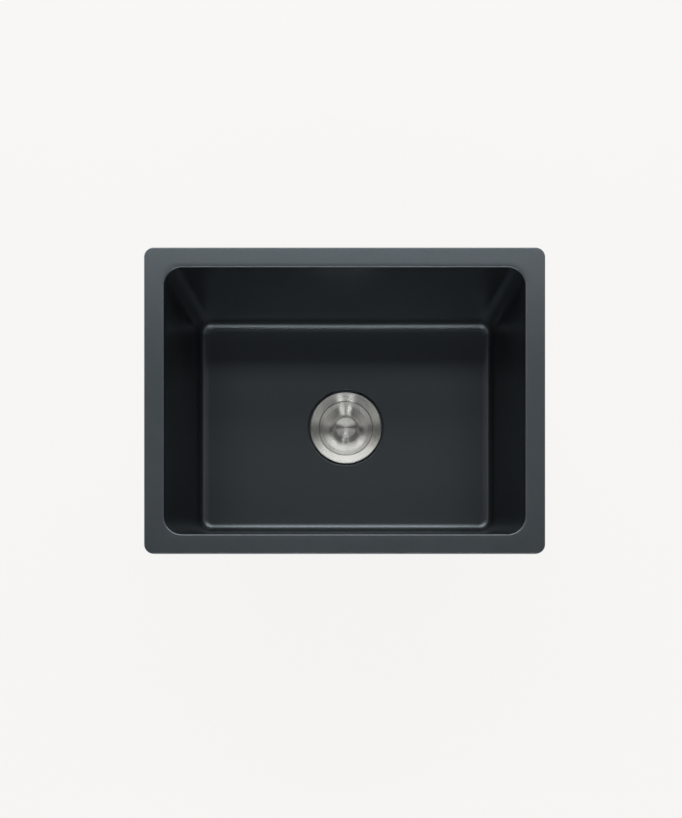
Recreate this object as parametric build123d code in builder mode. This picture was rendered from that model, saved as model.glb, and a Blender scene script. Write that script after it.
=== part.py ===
from build123d import *
import os
from math import hypot, radians, tan

# Granite composite kitchen sink: a rectangular bowl with a flat rim, a basket
# strainer waste with a lift-out basket and plug, and swing clips that grip a
# worktop. Millimetres, +Z up. The origin is on the drain axis, at the lower end
# of the tailpiece, and every height is counted up from there.

os.makedirs("parts", exist_ok=True)

# Rim
sink_length = 550
sink_width = 420
rim_width = 27
rim_thickness = 10
rim_corner_radius = 13
rim_edge_round = 1.5
rim_lower_round = 1
opening_corner_radius = 25
opening_edge_round = 2.5

# Bowl
bowl_depth = 200
wall_draft = 5
wall_thickness = 8
floor_thickness = 9
floor_corner_radius = 20
floor_fillet = 15
floor_fall = 0.8
rim_root_fillet = 3

# Drain seat in the bowl floor
drain_hole_clearance = 0.5
recess_gap = 3.2
recess_edge_round = 1.2
drain_ledge = 8.5
drain_boss_margin = 11.8
drain_boss_round = 2

# Strainer body, a pressed steel cup with a flange
flange_overlap = 12
flange_sink = 3
flange_height = 4.2
flange_lip_gap = 0.3
flange_lip_round = 0.8
flange_lip_width = 1.6
flange_fall = 2.4
sheet = 1.1
throat_radius = 43.4
throat_round = 1.5
throat_depth = 7
seat_cone = 1.9
seat_height = 2
ledge_depth = 15
ledge_width = 1.8
cup_depth = 49
cup_corner_radius = 6
outlet_fall = 1.5
thread_depth = 0.9
thread_pitch = 2
thread_length = 24

# Spigot under the strainer cup
spigot_margin = 3.9
spigot_wall = 3.5
spigot_length = 16
spigot_thread_length = 14

# Rings that clamp the strainer to the bowl
gasket_inset = 1.5
gasket_margin = 2.5
gasket_clearance = 0.05
washer_clearance = 0.6
washer_seat = 12
under_gasket_thickness = 3
friction_washer_thickness = 1.5
locknut_clearance = 0.3
locknut_height = 12
locknut_wall = 7
locknut_flange_margin = 1
locknut_flange = 3
locknut_lugs = 8
locknut_lug_width = 9
locknut_round = 0.8

# Tailpiece and its coupling nut
tail_radius = 20
tail_wall = 1.8
tail_length = 46
tail_flange = 2.5
tail_flange_clearance = 0.8
tail_neck_length = 3.5
tail_neck = 0.3
tail_washer = 2
tail_washer_clearance = 0.8
coupling_clearance = 0.3
coupling_wall = 3.8
coupling_lip = 3
coupling_overlap = 12
coupling_grips = 12
coupling_grip_radius = 2
coupling_round = 0.8

# Basket that hangs on the ledge of the strainer cup
basket_gap = 1.1
basket_lip_gap = 0.4
basket_sheet = 0.8
basket_depth = 27
basket_corner_radius = 5
basket_hole_radius = 2
basket_wall_holes = 24
basket_wall_rows = 2
basket_wall_row_step = 8
basket_floor_rings = 3
basket_ring_step = 8.5
basket_ring_holes = 6

# Lifting post riveted to the basket floor
post_radius = 3
post_length = 13
post_foot_radius = 6
post_foot = 1.5
post_ball_radius = 5
rivet_radius = 2
rivet_clearance = 0.05
rivet_head_radius = 4
rivet_head = 0.8

# Plug, a dished steel cover with a turned knob
plug_gap = 0.6
plug_sheet = 1
plug_sink = 4.2
plug_lip_width = 7
plug_lip_fall = 0.6
plug_dish_margin = 1.5
plug_dish_depth = 5
seal_width = 3.1
seal_clearance = 0.3
knob_base_radius = 22
knob_top_radius = 16.4
knob_base_height = 1.2
knob_flank_height = 10
knob_dome_height = 2
knob_edge_round = 1.2
plug_screw_radius = 2.5
plug_screw_depth = 6
plug_screw_clearance = 0.05
plug_screw_head_radius = 4.5
plug_screw_head = 2.6
plug_screw_round = 0.6
plug_slot_width = 1.2
plug_slot_depth = 1.3
plug_washer_radius = 8
plug_washer = 1

# Swing clips under the rim, each on a screw in a cast boss
clip_standoff = 2.5
clip_spacing = 300
boss_width = 20
boss_depth = 24
boss_cover = 5.5
boss_round = 4
insert_radius = 3.6
insert_clearance = 0.02
insert_length = 12
insert_groove = 0.4
insert_groove_width = 1.2
insert_grooves = 2
screw_hole_radius = 2.9
screw_hole_depth = 22
screw_radius = 2.5
screw_thread_clearance = 0.08
screw_thread_depth = 0.35
screw_pitch = 1.6
screw_engagement = 8
screw_collar_radius = 4
screw_collar = 1.5
screw_head_radius = 4.8
screw_head = 3.6
screw_head_round = 0.8
screw_slot_width = 1.2
screw_slot_depth = 1.8
clip_running_clearance = 0.08
clip_axial_gap = 0.15
clip_sheet = 2
clip_width = 11
clip_hub_length = 9
clip_ramp_length = 8
clip_rise = 8
clip_reach = 34
clip_bend = 1
clip_tooth = 1
clip_teeth = 3
clip_tooth_step = 3
clip_plan_round = 2
worktop_thickest = 38

# One overrun serves every cut, and one tolerance every choice of edges
overrun = 5
choice_tolerance = 0.01

# Heights
spigot_end = tail_length + tail_washer
cup_floor = spigot_end + spigot_length + sheet + outlet_fall
flange_top = cup_floor + cup_depth
floor_level = flange_top + flange_sink
rim_top = floor_level + bowl_depth
rim_under = rim_top - rim_thickness
recess_floor = flange_top - flange_height
drain_boss_base = recess_floor - drain_ledge
shell_base = floor_level - floor_thickness
ledge_height = flange_top - ledge_depth

# Plan of the bowl opening, and the radii shared by the pieces of the waste
opening_length = sink_length - 2 * rim_width
opening_width = sink_width - 2 * rim_width
seat_radius = throat_radius - seat_cone
cup_radius = seat_radius - ledge_width
spigot_radius = tail_radius + spigot_margin
outlet_radius = spigot_radius - thread_depth - spigot_wall
drain_hole_radius = throat_radius + sheet + drain_hole_clearance
flange_radius = drain_hole_radius + flange_overlap
recess_radius = flange_radius + recess_gap
drain_boss_radius = recess_radius + drain_boss_margin
washer_inner_radius = seat_radius + sheet + washer_clearance
washer_outer_radius = drain_hole_radius + washer_seat
thread_root = cup_radius + sheet
thread_crest = thread_root + thread_depth
thread_top = ledge_height - 2 * sheet


def export_piece(built, label):
    """Labels a finished piece and writes its STEP file."""
    built.part.label = label
    export_step(built.part, f"parts/{label}.step")


def bowl_outline(height, margin):
    """Rounded rectangle of the bowl at one height, moved outwards by a margin."""
    depth = rim_top - height
    inset = depth * tan(radians(wall_draft))
    narrowing = (opening_corner_radius - floor_corner_radius) * depth / bowl_depth
    RectangleRounded(
        opening_length + 2 * (margin - inset),
        opening_width + 2 * (margin - inset),
        opening_corner_radius - narrowing + margin,
    )


def add_turned(points, mode=Mode.ADD):
    """Adds a closed outline of (radius, height) points, turned about the drain axis."""
    with BuildSketch(Plane.XZ) as outline:
        with BuildLine():
            Polyline(*points, close=True)
        make_face()
    revolve(outline.sketch, axis=Axis.Z, mode=mode)


def add_ring(inner_radius, outer_radius, base, height, mode=Mode.ADD):
    """Adds a flat ring on the drain axis."""
    with BuildSketch(Plane.XY.offset(base)) as outline:
        Circle(outer_radius)
        if inner_radius:
            Circle(inner_radius, mode=Mode.SUBTRACT)
    extrude(outline.sketch, amount=height, mode=mode)


def thread_points(root, crest, top, bottom, pitch):
    """Ridged outline from the top down, which stands for a thread."""
    turns = max(1, round((top - bottom) / pitch))
    step = (top - bottom) / turns
    points = [(root, top)]
    for turn in range(turns):
        ridge_top = top - turn * step
        points.append((crest, ridge_top - step / 3))
        points.append((crest, ridge_top - step * 2 / 3))
        points.append((root, ridge_top - step))
    return points


def circles_at(built, radius, height):
    """Circular edges of a part with a given radius at a given height."""
    return (
        built.edges()
        .filter_by(GeomType.CIRCLE)
        .filter_by(
            lambda edge: abs(edge.radius - radius) < choice_tolerance
            and abs(edge.arc_center.Z - height) < choice_tolerance
        )
    )


def level_face(built, height):
    """The flat face of a part at one height."""
    return (
        built.faces()
        .filter_by(Axis.Z)
        .filter_by(lambda face: abs(face.center().Z - height) < choice_tolerance)[0]
    )


# Clip stations: name, place of the clip axis, direction of the stowed arm along
# the wall, and the turn about +Z that leads from there outwards
clip_inset = rim_width - wall_thickness - clip_standoff
clip_x = sink_length / 2 - clip_inset
clip_y = sink_width / 2 - clip_inset
clip_stations = [
    ("front_left", (-clip_spacing / 2, -clip_y), (1, 0), -1),
    ("front_right", (clip_spacing / 2, -clip_y), (-1, 0), 1),
    ("right", (clip_x, 0), (0, 1), -1),
    ("back_right", (clip_spacing / 2, clip_y), (-1, 0), -1),
    ("back_left", (-clip_spacing / 2, clip_y), (1, 0), 1),
    ("left", (-clip_x, 0), (0, 1), 1),
]
boss_base = rim_under - boss_depth
boss_root = clip_standoff + wall_thickness
clip_hub_top = rim_under - worktop_thickest - clip_rise - clip_tooth


def station_plane(place, along, height):
    """Plane on a clip axis with its X along the wall."""
    return Plane(origin=(*place, height), x_dir=(*along, 0), z_dir=(0, 0, 1))


# Hollow of the bowl: drafted walls, and a floor that falls to the drain
with BuildPart() as hollow:
    with BuildSketch(Plane.XY.offset(rim_top)):
        bowl_outline(rim_top, 0)
    with BuildSketch(Plane.XY.offset(floor_level)):
        bowl_outline(floor_level, 0)
    loft(ruled=True)
    reach = hypot(opening_length, opening_width) / 2
    rise = (reach - drain_hole_radius) * tan(radians(floor_fall))
    add_turned(
        [(drain_hole_radius, floor_level), (reach, floor_level), (reach, floor_level + rise)],
        mode=Mode.SUBTRACT,
    )
    floor_edges = hollow.edges().filter_by(
        lambda edge: edge.center().Z < floor_level + floor_fillet
        and hypot(edge.center().X, edge.center().Y) > recess_radius + floor_fillet
    )
    fillet(floor_edges, floor_fillet)

with BuildPart() as sink_bowl:
    # Outside of the bowl, rounded below as the hollow is
    with BuildSketch(Plane.XY.offset(rim_under)):
        bowl_outline(rim_under, wall_thickness)
    with BuildSketch(Plane.XY.offset(shell_base)):
        bowl_outline(shell_base, wall_thickness)
    loft(ruled=True)
    fillet(sink_bowl.faces().sort_by(Axis.Z)[0].edges(), floor_fillet + wall_thickness)
    add_ring(0, drain_boss_radius, drain_boss_base, floor_level - drain_boss_base)
    fillet(circles_at(sink_bowl, drain_boss_radius, drain_boss_base), drain_boss_round)

    # Flat rim, rounded at its edges and where it meets the bowl
    with BuildSketch(Plane.XY.offset(rim_under)):
        RectangleRounded(sink_length, sink_width, rim_corner_radius)
    extrude(amount=rim_thickness)
    fillet(level_face(sink_bowl, rim_under).inner_wires()[0].edges(), rim_root_fillet)
    fillet(level_face(sink_bowl, rim_under).outer_wire().edges(), rim_lower_round)
    fillet(level_face(sink_bowl, rim_top).outer_wire().edges(), rim_edge_round)

    # A boss for each clip, with its root in the wall
    for name, place, along, turn in clip_stations:
        with BuildSketch(station_plane(place, along, boss_base)) as boss:
            with Locations((0, turn * (boss_cover - boss_root) / 2)):
                Rectangle(boss_width, boss_cover + boss_root)
            outer = boss.vertices().group_by(Axis.Y)[-1 if turn > 0 else 0]
            fillet(outer, boss_round)
        extrude(amount=boss_depth)

    add(hollow.part, mode=Mode.SUBTRACT)
    fillet(level_face(sink_bowl, rim_top).inner_wires()[0].edges(), opening_edge_round)

    # Stepped seat and hole for the strainer
    add_ring(0, recess_radius, recess_floor, bowl_depth, mode=Mode.SUBTRACT)
    add_ring(
        0, drain_hole_radius, drain_boss_base - overrun, bowl_depth, mode=Mode.SUBTRACT
    )
    recess_edges = sink_bowl.edges().filter_by(GeomType.CIRCLE).filter_by(
        lambda edge: abs(edge.radius - recess_radius) < choice_tolerance
        and edge.arc_center.Z > recess_floor + choice_tolerance
    )
    fillet(recess_edges, recess_edge_round)

    # Pocket for a threaded insert in each boss, with a clear hole above it
    for name, place, along, turn in clip_stations:
        with BuildSketch(station_plane(place, along, boss_base)):
            Circle(insert_radius + insert_clearance)
        extrude(amount=insert_length, mode=Mode.SUBTRACT)
        with BuildSketch(station_plane(place, along, boss_base)):
            Circle(screw_hole_radius)
        extrude(amount=screw_hole_depth, mode=Mode.SUBTRACT)
export_piece(sink_bowl, "sink_bowl")

# Brass inserts, grooved so that the casting holds them
with BuildPart() as clip_inserts:
    for name, place, along, turn in clip_stations:
        with BuildSketch(station_plane(place, along, boss_base)):
            Circle(insert_radius)
            Circle(screw_radius + screw_thread_clearance, mode=Mode.SUBTRACT)
        extrude(amount=insert_length)
        for groove in range(insert_grooves):
            groove_base = boss_base + insert_length * (groove + 1) / (insert_grooves + 1)
            groove_plane = station_plane(place, along, groove_base - insert_groove_width / 2)
            with BuildSketch(groove_plane):
                Circle(insert_radius + overrun)
                Circle(insert_radius - insert_groove, mode=Mode.SUBTRACT)
            extrude(amount=insert_groove_width, mode=Mode.SUBTRACT)
export_piece(clip_inserts, "clip_inserts")

# Strainer body: flange, throat, cone seat, ledge, cup and threaded spigot
lip_radius = flange_radius - flange_lip_width
face_slope = flange_fall / (lip_radius - throat_radius)
throat_top = flange_top - flange_fall
with BuildPart() as strainer_body:
    inside = [
        (flange_radius, recess_floor + flange_lip_gap),
        (flange_radius, flange_top),
        (lip_radius, flange_top),
        (throat_radius, throat_top),
        (throat_radius, flange_top - throat_depth),
        (seat_radius, flange_top - throat_depth - seat_height),
        (seat_radius, ledge_height),
        (cup_radius, ledge_height),
        (cup_radius, cup_floor),
        (outlet_radius, cup_floor - outlet_fall),
        (outlet_radius, spigot_end),
    ]
    spigot_thread_top = spigot_end + spigot_thread_length
    spigot_thread = thread_points(
        spigot_radius - thread_depth, spigot_radius, spigot_thread_top, spigot_end, thread_pitch
    )
    cup_thread = thread_points(
        thread_root, thread_crest, thread_top, thread_top - thread_length, thread_pitch
    )
    outside = [
        *reversed(spigot_thread),
        (spigot_radius - thread_depth, cup_floor - outlet_fall - sheet),
        (thread_root, cup_floor - sheet),
        *reversed(cup_thread),
        (thread_root, ledge_height - sheet),
        (seat_radius + sheet, ledge_height - sheet),
        (seat_radius + sheet, flange_top - throat_depth - seat_height),
        (throat_radius + sheet, flange_top - throat_depth),
        (throat_radius + sheet, throat_top - sheet + face_slope * sheet),
        (flange_radius - sheet, flange_top - sheet),
        (flange_radius - sheet, recess_floor + flange_lip_gap),
    ]
    add_turned(inside + outside)
    fillet(circles_at(strainer_body, flange_radius, flange_top), flange_lip_round)
    fillet(circles_at(strainer_body, throat_radius, throat_top), throat_round)
    fillet(circles_at(strainer_body, cup_radius, cup_floor), cup_corner_radius)
    fillet(circles_at(strainer_body, thread_root, cup_floor - sheet), cup_corner_radius)
export_piece(strainer_body, "strainer_body")


def under_flange(radius):
    """Height of the underside of the flange's sloping face at a radius."""
    inner_height = throat_top - sheet + face_slope * sheet
    slope = (flange_top - sheet - inner_height) / (flange_radius - throat_radius - 2 * sheet)
    return inner_height + slope * (radius - throat_radius - sheet)


gasket_inner_radius = drain_hole_radius + gasket_inset
gasket_outer_radius = flange_radius - gasket_margin
with BuildPart() as flange_gasket:
    add_turned([
        (gasket_inner_radius, recess_floor),
        (gasket_outer_radius, recess_floor),
        (gasket_outer_radius, under_flange(gasket_outer_radius) - gasket_clearance),
        (gasket_inner_radius, under_flange(gasket_inner_radius) - gasket_clearance),
    ])
export_piece(flange_gasket, "flange_gasket")

# Rubber gasket and slip washer under the bowl, above the locknut
under_gasket_base = drain_boss_base - under_gasket_thickness
with BuildPart() as under_gasket:
    add_ring(washer_inner_radius, washer_outer_radius, under_gasket_base, under_gasket_thickness)
export_piece(under_gasket, "under_gasket")

locknut_top = under_gasket_base - friction_washer_thickness
with BuildPart() as friction_washer:
    add_ring(washer_inner_radius, washer_outer_radius, locknut_top, friction_washer_thickness)
export_piece(friction_washer, "friction_washer")

# Locknut with lugs for a spanner or a hand
with BuildPart() as locknut:
    locknut_base = locknut_top - locknut_height
    locknut_bore = thread_crest + locknut_clearance
    locknut_radius = locknut_bore + locknut_wall
    locknut_flange_radius = washer_outer_radius + locknut_flange_margin
    add_ring(0, locknut_radius, locknut_base, locknut_height)
    with BuildSketch(Plane.XY.offset(locknut_base)):
        with PolarLocations(0, locknut_lugs):
            with Locations((locknut_flange_radius / 2, 0)):
                Rectangle(locknut_flange_radius, locknut_lug_width)
        Circle(locknut_flange_radius, mode=Mode.INTERSECT)
    extrude(amount=locknut_height)
    add_ring(0, locknut_flange_radius, locknut_top - locknut_flange, locknut_flange)
    fillet(locknut.faces().sort_by(Axis.Z)[0].edges(), locknut_round)
    add_ring(0, locknut_bore, locknut_base - overrun, locknut_height + 2 * overrun, Mode.SUBTRACT)
export_piece(locknut, "locknut")

tail_bore = tail_radius - tail_wall
coupling_bore = spigot_radius + coupling_clearance
tail_flange_radius = coupling_bore - tail_flange_clearance
with BuildPart() as tailpiece_washer:
    add_ring(tail_bore + tail_washer_clearance, tail_flange_radius, tail_length, tail_washer)
export_piece(tailpiece_washer, "tailpiece_washer")

# Tailpiece, a flanged tube with a slight neck where the nut turns
with BuildPart() as tailpiece:
    add_ring(tail_bore, tail_radius, 0, tail_length)
    neck_base = tail_length - tail_flange - tail_neck_length
    add_ring(tail_radius - tail_neck, tail_radius, neck_base, tail_neck_length, Mode.SUBTRACT)
    add_ring(tail_bore, tail_flange_radius, tail_length - tail_flange, tail_flange)
export_piece(tailpiece, "tailpiece")

# Coupling nut that draws the tailpiece up to the spigot
with BuildPart() as coupling_nut:
    coupling_base = tail_length - tail_flange - coupling_lip
    coupling_top = spigot_end + coupling_overlap
    coupling_height = coupling_top - coupling_base
    coupling_radius = coupling_bore + coupling_wall
    add_ring(0, coupling_radius, coupling_base, coupling_height)
    fillet(circles_at(coupling_nut, coupling_radius, coupling_base), coupling_round)
    fillet(circles_at(coupling_nut, coupling_radius, coupling_top), coupling_round)
    with BuildSketch(Plane.XY.offset(coupling_base + coupling_round)):
        with PolarLocations(coupling_radius, coupling_grips):
            Circle(coupling_grip_radius)
    extrude(amount=coupling_height - 2 * coupling_round)
    add_ring(0, coupling_bore, coupling_base + coupling_lip, coupling_height, Mode.SUBTRACT)
    add_ring(
        0, tail_radius + coupling_clearance, coupling_base - overrun, coupling_height, Mode.SUBTRACT
    )
export_piece(coupling_nut, "coupling_nut")

# Basket: a thin cup with a lip on the ledge, and holes in its wall and floor
basket_radius = cup_radius - basket_gap
basket_lip_radius = seat_radius - basket_lip_gap
basket_base = ledge_height - basket_depth
basket_floor = basket_base + basket_sheet
with BuildPart() as basket_cup:
    add_turned([
        (0, basket_base),
        (basket_radius, basket_base),
        (basket_radius, ledge_height),
        (basket_lip_radius, ledge_height),
        (basket_lip_radius, ledge_height + basket_sheet),
        (basket_radius - basket_sheet, ledge_height + basket_sheet),
        (basket_radius - basket_sheet, basket_floor),
        (0, basket_floor),
    ])
    fillet(circles_at(basket_cup, basket_radius, basket_base), basket_corner_radius)
    inner_corner = circles_at(basket_cup, basket_radius - basket_sheet, basket_floor)
    fillet(inner_corner, basket_corner_radius - basket_sheet)
    row_base = basket_base + basket_corner_radius + 2 * basket_hole_radius
    for row in range(basket_wall_rows):
        row_height = row_base + row * basket_wall_row_step
        row_turn = 180 * row / basket_wall_holes
        with PolarLocations(basket_radius, basket_wall_holes, start_angle=row_turn):
            with Locations(Location((0, 0, row_height), (0, 90, 0))):
                Cylinder(basket_hole_radius, 2 * overrun, mode=Mode.SUBTRACT)
    with BuildSketch(Plane.XY.offset(basket_base)):
        for ring in range(1, basket_floor_rings + 1):
            with PolarLocations(ring * basket_ring_step + rivet_radius, ring * basket_ring_holes):
                Circle(basket_hole_radius)
        Circle(rivet_radius + rivet_clearance)
    extrude(amount=basket_sheet, mode=Mode.SUBTRACT)
export_piece(basket_cup, "basket_cup")

# Post with a ball to lift the basket by, riveted through its floor
with BuildPart() as basket_post:
    foot_top = basket_floor + post_foot
    add_ring(0, post_foot_radius, basket_floor, post_foot)
    add_ring(0, post_radius, basket_floor, post_foot + post_length)
    with Locations((0, 0, foot_top + post_length)):
        Sphere(post_ball_radius)
    add_ring(0, rivet_radius, basket_base - rivet_head, basket_sheet + rivet_head)
    add_ring(0, rivet_head_radius, basket_base - rivet_head, rivet_head)
export_piece(basket_post, "basket_post")

# Plug cover: a lip in the throat, a dished wall and a flat middle
plug_radius = throat_radius - plug_gap
plug_lip_top = flange_top - plug_sink
plug_lip_inner = plug_radius - plug_lip_width
plug_dish_radius = knob_base_radius + plug_dish_margin
dish_floor = plug_lip_top - plug_dish_depth
lip_inner_top = plug_lip_top - plug_lip_fall
screw_bore = plug_screw_radius + plug_screw_clearance
with BuildPart() as plug_cover:
    add_turned([
        (screw_bore, dish_floor),
        (plug_dish_radius, dish_floor),
        (plug_lip_inner, lip_inner_top),
        (plug_radius, plug_lip_top),
        (plug_radius, plug_lip_top - plug_sheet),
        (plug_lip_inner, lip_inner_top - plug_sheet),
        (plug_dish_radius, dish_floor - plug_sheet),
        (screw_bore, dish_floor - plug_sheet),
    ])
    fillet(circles_at(plug_cover, plug_radius, plug_lip_top), plug_sheet / 3)
export_piece(plug_cover, "plug_cover")

# Rubber seal bonded under the lip, with a cone that follows the seat
seal_inner_radius = seat_radius - seal_width
seal_top = plug_lip_top - plug_sheet
seat_top = flange_top - throat_depth
seat_slope = (throat_radius - seat_radius) / seat_height
seal_lip_radius = throat_radius - seal_clearance - plug_gap / 2
seal_tip_radius = seat_radius - seal_clearance - plug_gap / 2
lip_slope = plug_lip_fall / plug_lip_width
with BuildPart() as plug_seal:
    add_turned([
        (seal_inner_radius, seal_top - lip_slope * (plug_radius - seal_inner_radius)),
        (seal_lip_radius, seal_top - lip_slope * (plug_radius - seal_lip_radius)),
        (seal_lip_radius, seat_top),
        (seal_tip_radius, seat_top - seat_height),
        (seal_inner_radius, seat_top - seat_height),
    ])
export_piece(plug_seal, "plug_seal")

# Turned knob with a domed top, drilled for its screw
with BuildPart() as plug_knob:
    flank_base = dish_floor + knob_base_height
    flank_top = flank_base + knob_flank_height
    with BuildSketch(Plane.XZ) as knob_profile:
        with BuildLine():
            Polyline((0, flank_top + knob_dome_height), (0, dish_floor), (knob_base_radius, dish_floor))
            Line((knob_base_radius, dish_floor), (knob_base_radius, flank_base))
            Line((knob_base_radius, flank_base), (knob_top_radius, flank_top))
            ThreePointArc(
                (knob_top_radius, flank_top),
                (knob_top_radius / 2, flank_top + knob_dome_height * 3 / 4),
                (0, flank_top + knob_dome_height),
            )
        make_face()
    revolve(axis=Axis.Z)
    fillet(circles_at(plug_knob, knob_top_radius, flank_top), knob_edge_round)
    add_ring(0, screw_bore, dish_floor, plug_screw_depth, Mode.SUBTRACT)
export_piece(plug_knob, "plug_knob")

# Washer and slotted screw that hold the knob from below
cover_under = dish_floor - plug_sheet
with BuildPart() as plug_washer_ring:
    add_ring(screw_bore, plug_washer_radius, cover_under - plug_washer, plug_washer)
export_piece(plug_washer_ring, "plug_washer")

with BuildPart() as plug_screw:
    head_top = cover_under - plug_washer
    head_base = head_top - plug_screw_head
    add_ring(0, plug_screw_head_radius, head_base, plug_screw_head)
    fillet(circles_at(plug_screw, plug_screw_head_radius, head_base), plug_screw_round)
    shank_length = plug_washer + plug_sheet + plug_screw_depth - plug_screw_clearance
    add_ring(0, plug_screw_radius, head_top, shank_length)
    with BuildSketch(Plane.XY.offset(head_base)):
        Rectangle(2 * plug_screw_head_radius, plug_slot_width)
    extrude(amount=plug_slot_depth, mode=Mode.SUBTRACT)
export_piece(plug_screw, "plug_screw")

# A screw and a swing arm for each clip station
hub_base = clip_hub_top - clip_sheet
collar_base = clip_hub_top + clip_axial_gap
head_face = hub_base - clip_axial_gap
screw_tip = boss_base + screw_engagement
collar_top = collar_base + screw_collar
for name, place, along, turn in clip_stations:
    with BuildPart() as clip_screw:
        with BuildSketch(station_plane(place, along, head_face - screw_head)):
            Circle(screw_head_radius)
        extrude(amount=screw_head)
        fillet(clip_screw.faces().sort_by(Axis.Z)[0].edges(), screw_head_round)
        with BuildSketch(station_plane(place, along, head_face)):
            Circle(screw_radius)
        extrude(amount=collar_base - head_face)
        with BuildSketch(station_plane(place, along, collar_base)):
            Circle(screw_collar_radius)
        extrude(amount=screw_collar)
        side = Plane(origin=(*place, 0), x_dir=(*along, 0), z_dir=(along[1], -along[0], 0))
        with BuildSketch(side):
            with BuildLine():
                Polyline(
                    (0, collar_top),
                    (0, screw_tip),
                    *thread_points(
                        screw_radius - screw_thread_depth,
                        screw_radius,
                        screw_tip,
                        collar_top,
                        screw_pitch,
                    ),
                    close=True,
                )
            make_face()
        revolve(axis=Axis((*place, 0), (0, 0, 1)))
        with BuildSketch(station_plane(place, along, head_face - screw_head)):
            Rectangle(2 * screw_head_radius, screw_slot_width)
        extrude(amount=screw_slot_depth, mode=Mode.SUBTRACT)
    export_piece(clip_screw, f"clip_screw_{name}")

    with BuildPart() as clip_arm:
        ramp_end = clip_hub_length + clip_ramp_length
        arm_heel = clip_width / 2
        with BuildSketch(side):
            with BuildLine() as middle:
                FilletPolyline(
                    (-arm_heel, clip_hub_top - clip_sheet / 2),
                    (clip_hub_length, clip_hub_top - clip_sheet / 2),
                    (ramp_end, clip_hub_top + clip_rise - clip_sheet / 2),
                    (clip_reach, clip_hub_top + clip_rise - clip_sheet / 2),
                    radius=clip_bend + clip_sheet / 2,
                )
            trace(middle.line, line_width=clip_sheet)
            for tooth in range(clip_teeth):
                tooth_end = clip_reach - tooth * clip_tooth_step
                with BuildLine():
                    Polyline(
                        (tooth_end, clip_hub_top + clip_rise - clip_sheet / 2),
                        (tooth_end, clip_hub_top + clip_rise + clip_tooth),
                        (tooth_end - clip_tooth_step / 2, clip_hub_top + clip_rise),
                        (tooth_end - clip_tooth_step / 2, clip_hub_top + clip_rise - clip_sheet / 2),
                        close=True,
                    )
                make_face()
        extrude(amount=clip_width / 2, both=True)
        with BuildSketch(station_plane(place, along, hub_base - overrun)) as arm_plan:
            with Locations((clip_reach / 2, 0)):
                Rectangle(clip_reach, clip_width)
            fillet(arm_plan.vertices().group_by(Axis.X)[-1], clip_plan_round)
            Circle(arm_heel)
        extrude(amount=clip_rise + clip_sheet + 2 * overrun, mode=Mode.INTERSECT)
        with BuildSketch(station_plane(place, along, hub_base - overrun)):
            Circle(screw_radius + clip_running_clearance)
        extrude(amount=clip_sheet + 2 * overrun, mode=Mode.SUBTRACT)
    export_piece(clip_arm, f"clip_{name}")
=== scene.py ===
# Granite kitchen sink: smooth geometry, finishes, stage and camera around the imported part.
# Laid out as an add-on and run as a script. All sizes are in metres.

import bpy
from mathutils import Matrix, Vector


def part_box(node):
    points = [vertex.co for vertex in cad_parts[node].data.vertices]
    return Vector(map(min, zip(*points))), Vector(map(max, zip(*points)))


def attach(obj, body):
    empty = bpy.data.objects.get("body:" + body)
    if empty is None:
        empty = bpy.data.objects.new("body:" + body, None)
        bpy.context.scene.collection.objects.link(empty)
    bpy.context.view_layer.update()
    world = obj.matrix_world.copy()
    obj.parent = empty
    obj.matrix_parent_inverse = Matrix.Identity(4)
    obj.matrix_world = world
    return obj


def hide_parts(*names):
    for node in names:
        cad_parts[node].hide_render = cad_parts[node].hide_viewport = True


bl_info = {
    "name": "Granite Kitchen Sink",
    "version": (1, 0, 0),
    "blender": (4, 5, 0),
    "location": "View3D > Sidebar > Sink",
    "description": "Builds a granite composite sink with its basket strainer waste and worktop clips",
    "category": "Add Mesh",
}

from math import atan2, ceil, cos, pi, radians, sin, tan

import bmesh
import bpy
import numpy as np
from bpy.props import FloatProperty, FloatVectorProperty, IntProperty, PointerProperty
from bpy.types import Operator, Panel, PropertyGroup
from mathutils import Matrix, Vector

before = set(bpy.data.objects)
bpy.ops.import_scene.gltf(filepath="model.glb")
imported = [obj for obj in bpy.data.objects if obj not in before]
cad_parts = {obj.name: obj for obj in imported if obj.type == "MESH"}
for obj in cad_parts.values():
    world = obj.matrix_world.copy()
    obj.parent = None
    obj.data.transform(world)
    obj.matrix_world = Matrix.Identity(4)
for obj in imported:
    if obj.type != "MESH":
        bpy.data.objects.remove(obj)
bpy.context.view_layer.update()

BOWL_LOW, BOWL_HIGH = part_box("sink_bowl")
MM = 0.001
QUARTER = pi / 2
TINY = 1e-7

# Names of the materials
STONE = "granite composite"
STEEL = "turned stainless steel"
ZINC = "zinc plated steel"
BRASS = "machined brass"
RUBBER = "black rubber"
PLASTIC = "black plastic"
WHITE = "white plastic"

# Meshes: distance for doubles, and angles above which an edge is drawn sharp
WELD = 1e-6
SHARP = radians(32)
BOWL_SHARP = radians(50)
CAST_SHARP = radians(35)

# Roundings: largest turn of one step, room kept beside an arc, the longest cut as a share of a side, and
# where a block's bevel bends, as a share of it
ROUND_STEP = radians(11)
FLAT_HOLD = 0.25 * MM
REACH_SHARE = 0.47
BEVEL_SHARE = 0.3

# Points round the turned pieces, and in one turn of their threads
ROUND_LARGE = 256
ROUND_MIDDLE = 192
ROUND_TAIL = 160
ROUND_RING = 144
ROUND_SMALL = 96
ROUND_SCREW = 72
ROUND_BUSH = 64
ROUND_HOLE = 48
ROUND_GRIP = 32
TURN_LARGE = 72
TURN_SCREW = 36

# Thread ridges: how fast they grow from an end, by turns, how thin they start, and their half height by
# the pitch
THREAD_FADE = 3.0
THREAD_END_SHARE = 0.05
THREAD_HALF_SHARE = 0.43

# Depths below the rim's top where its paler tone, painted light, starts and is full, and the stretch of
# the turned lines
PAINTED_LIGHT_LOW = 2.5 * MM
PAINTED_LIGHT_HIGH = 0.4 * MM
LINE_STRETCH = 0.0006

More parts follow.
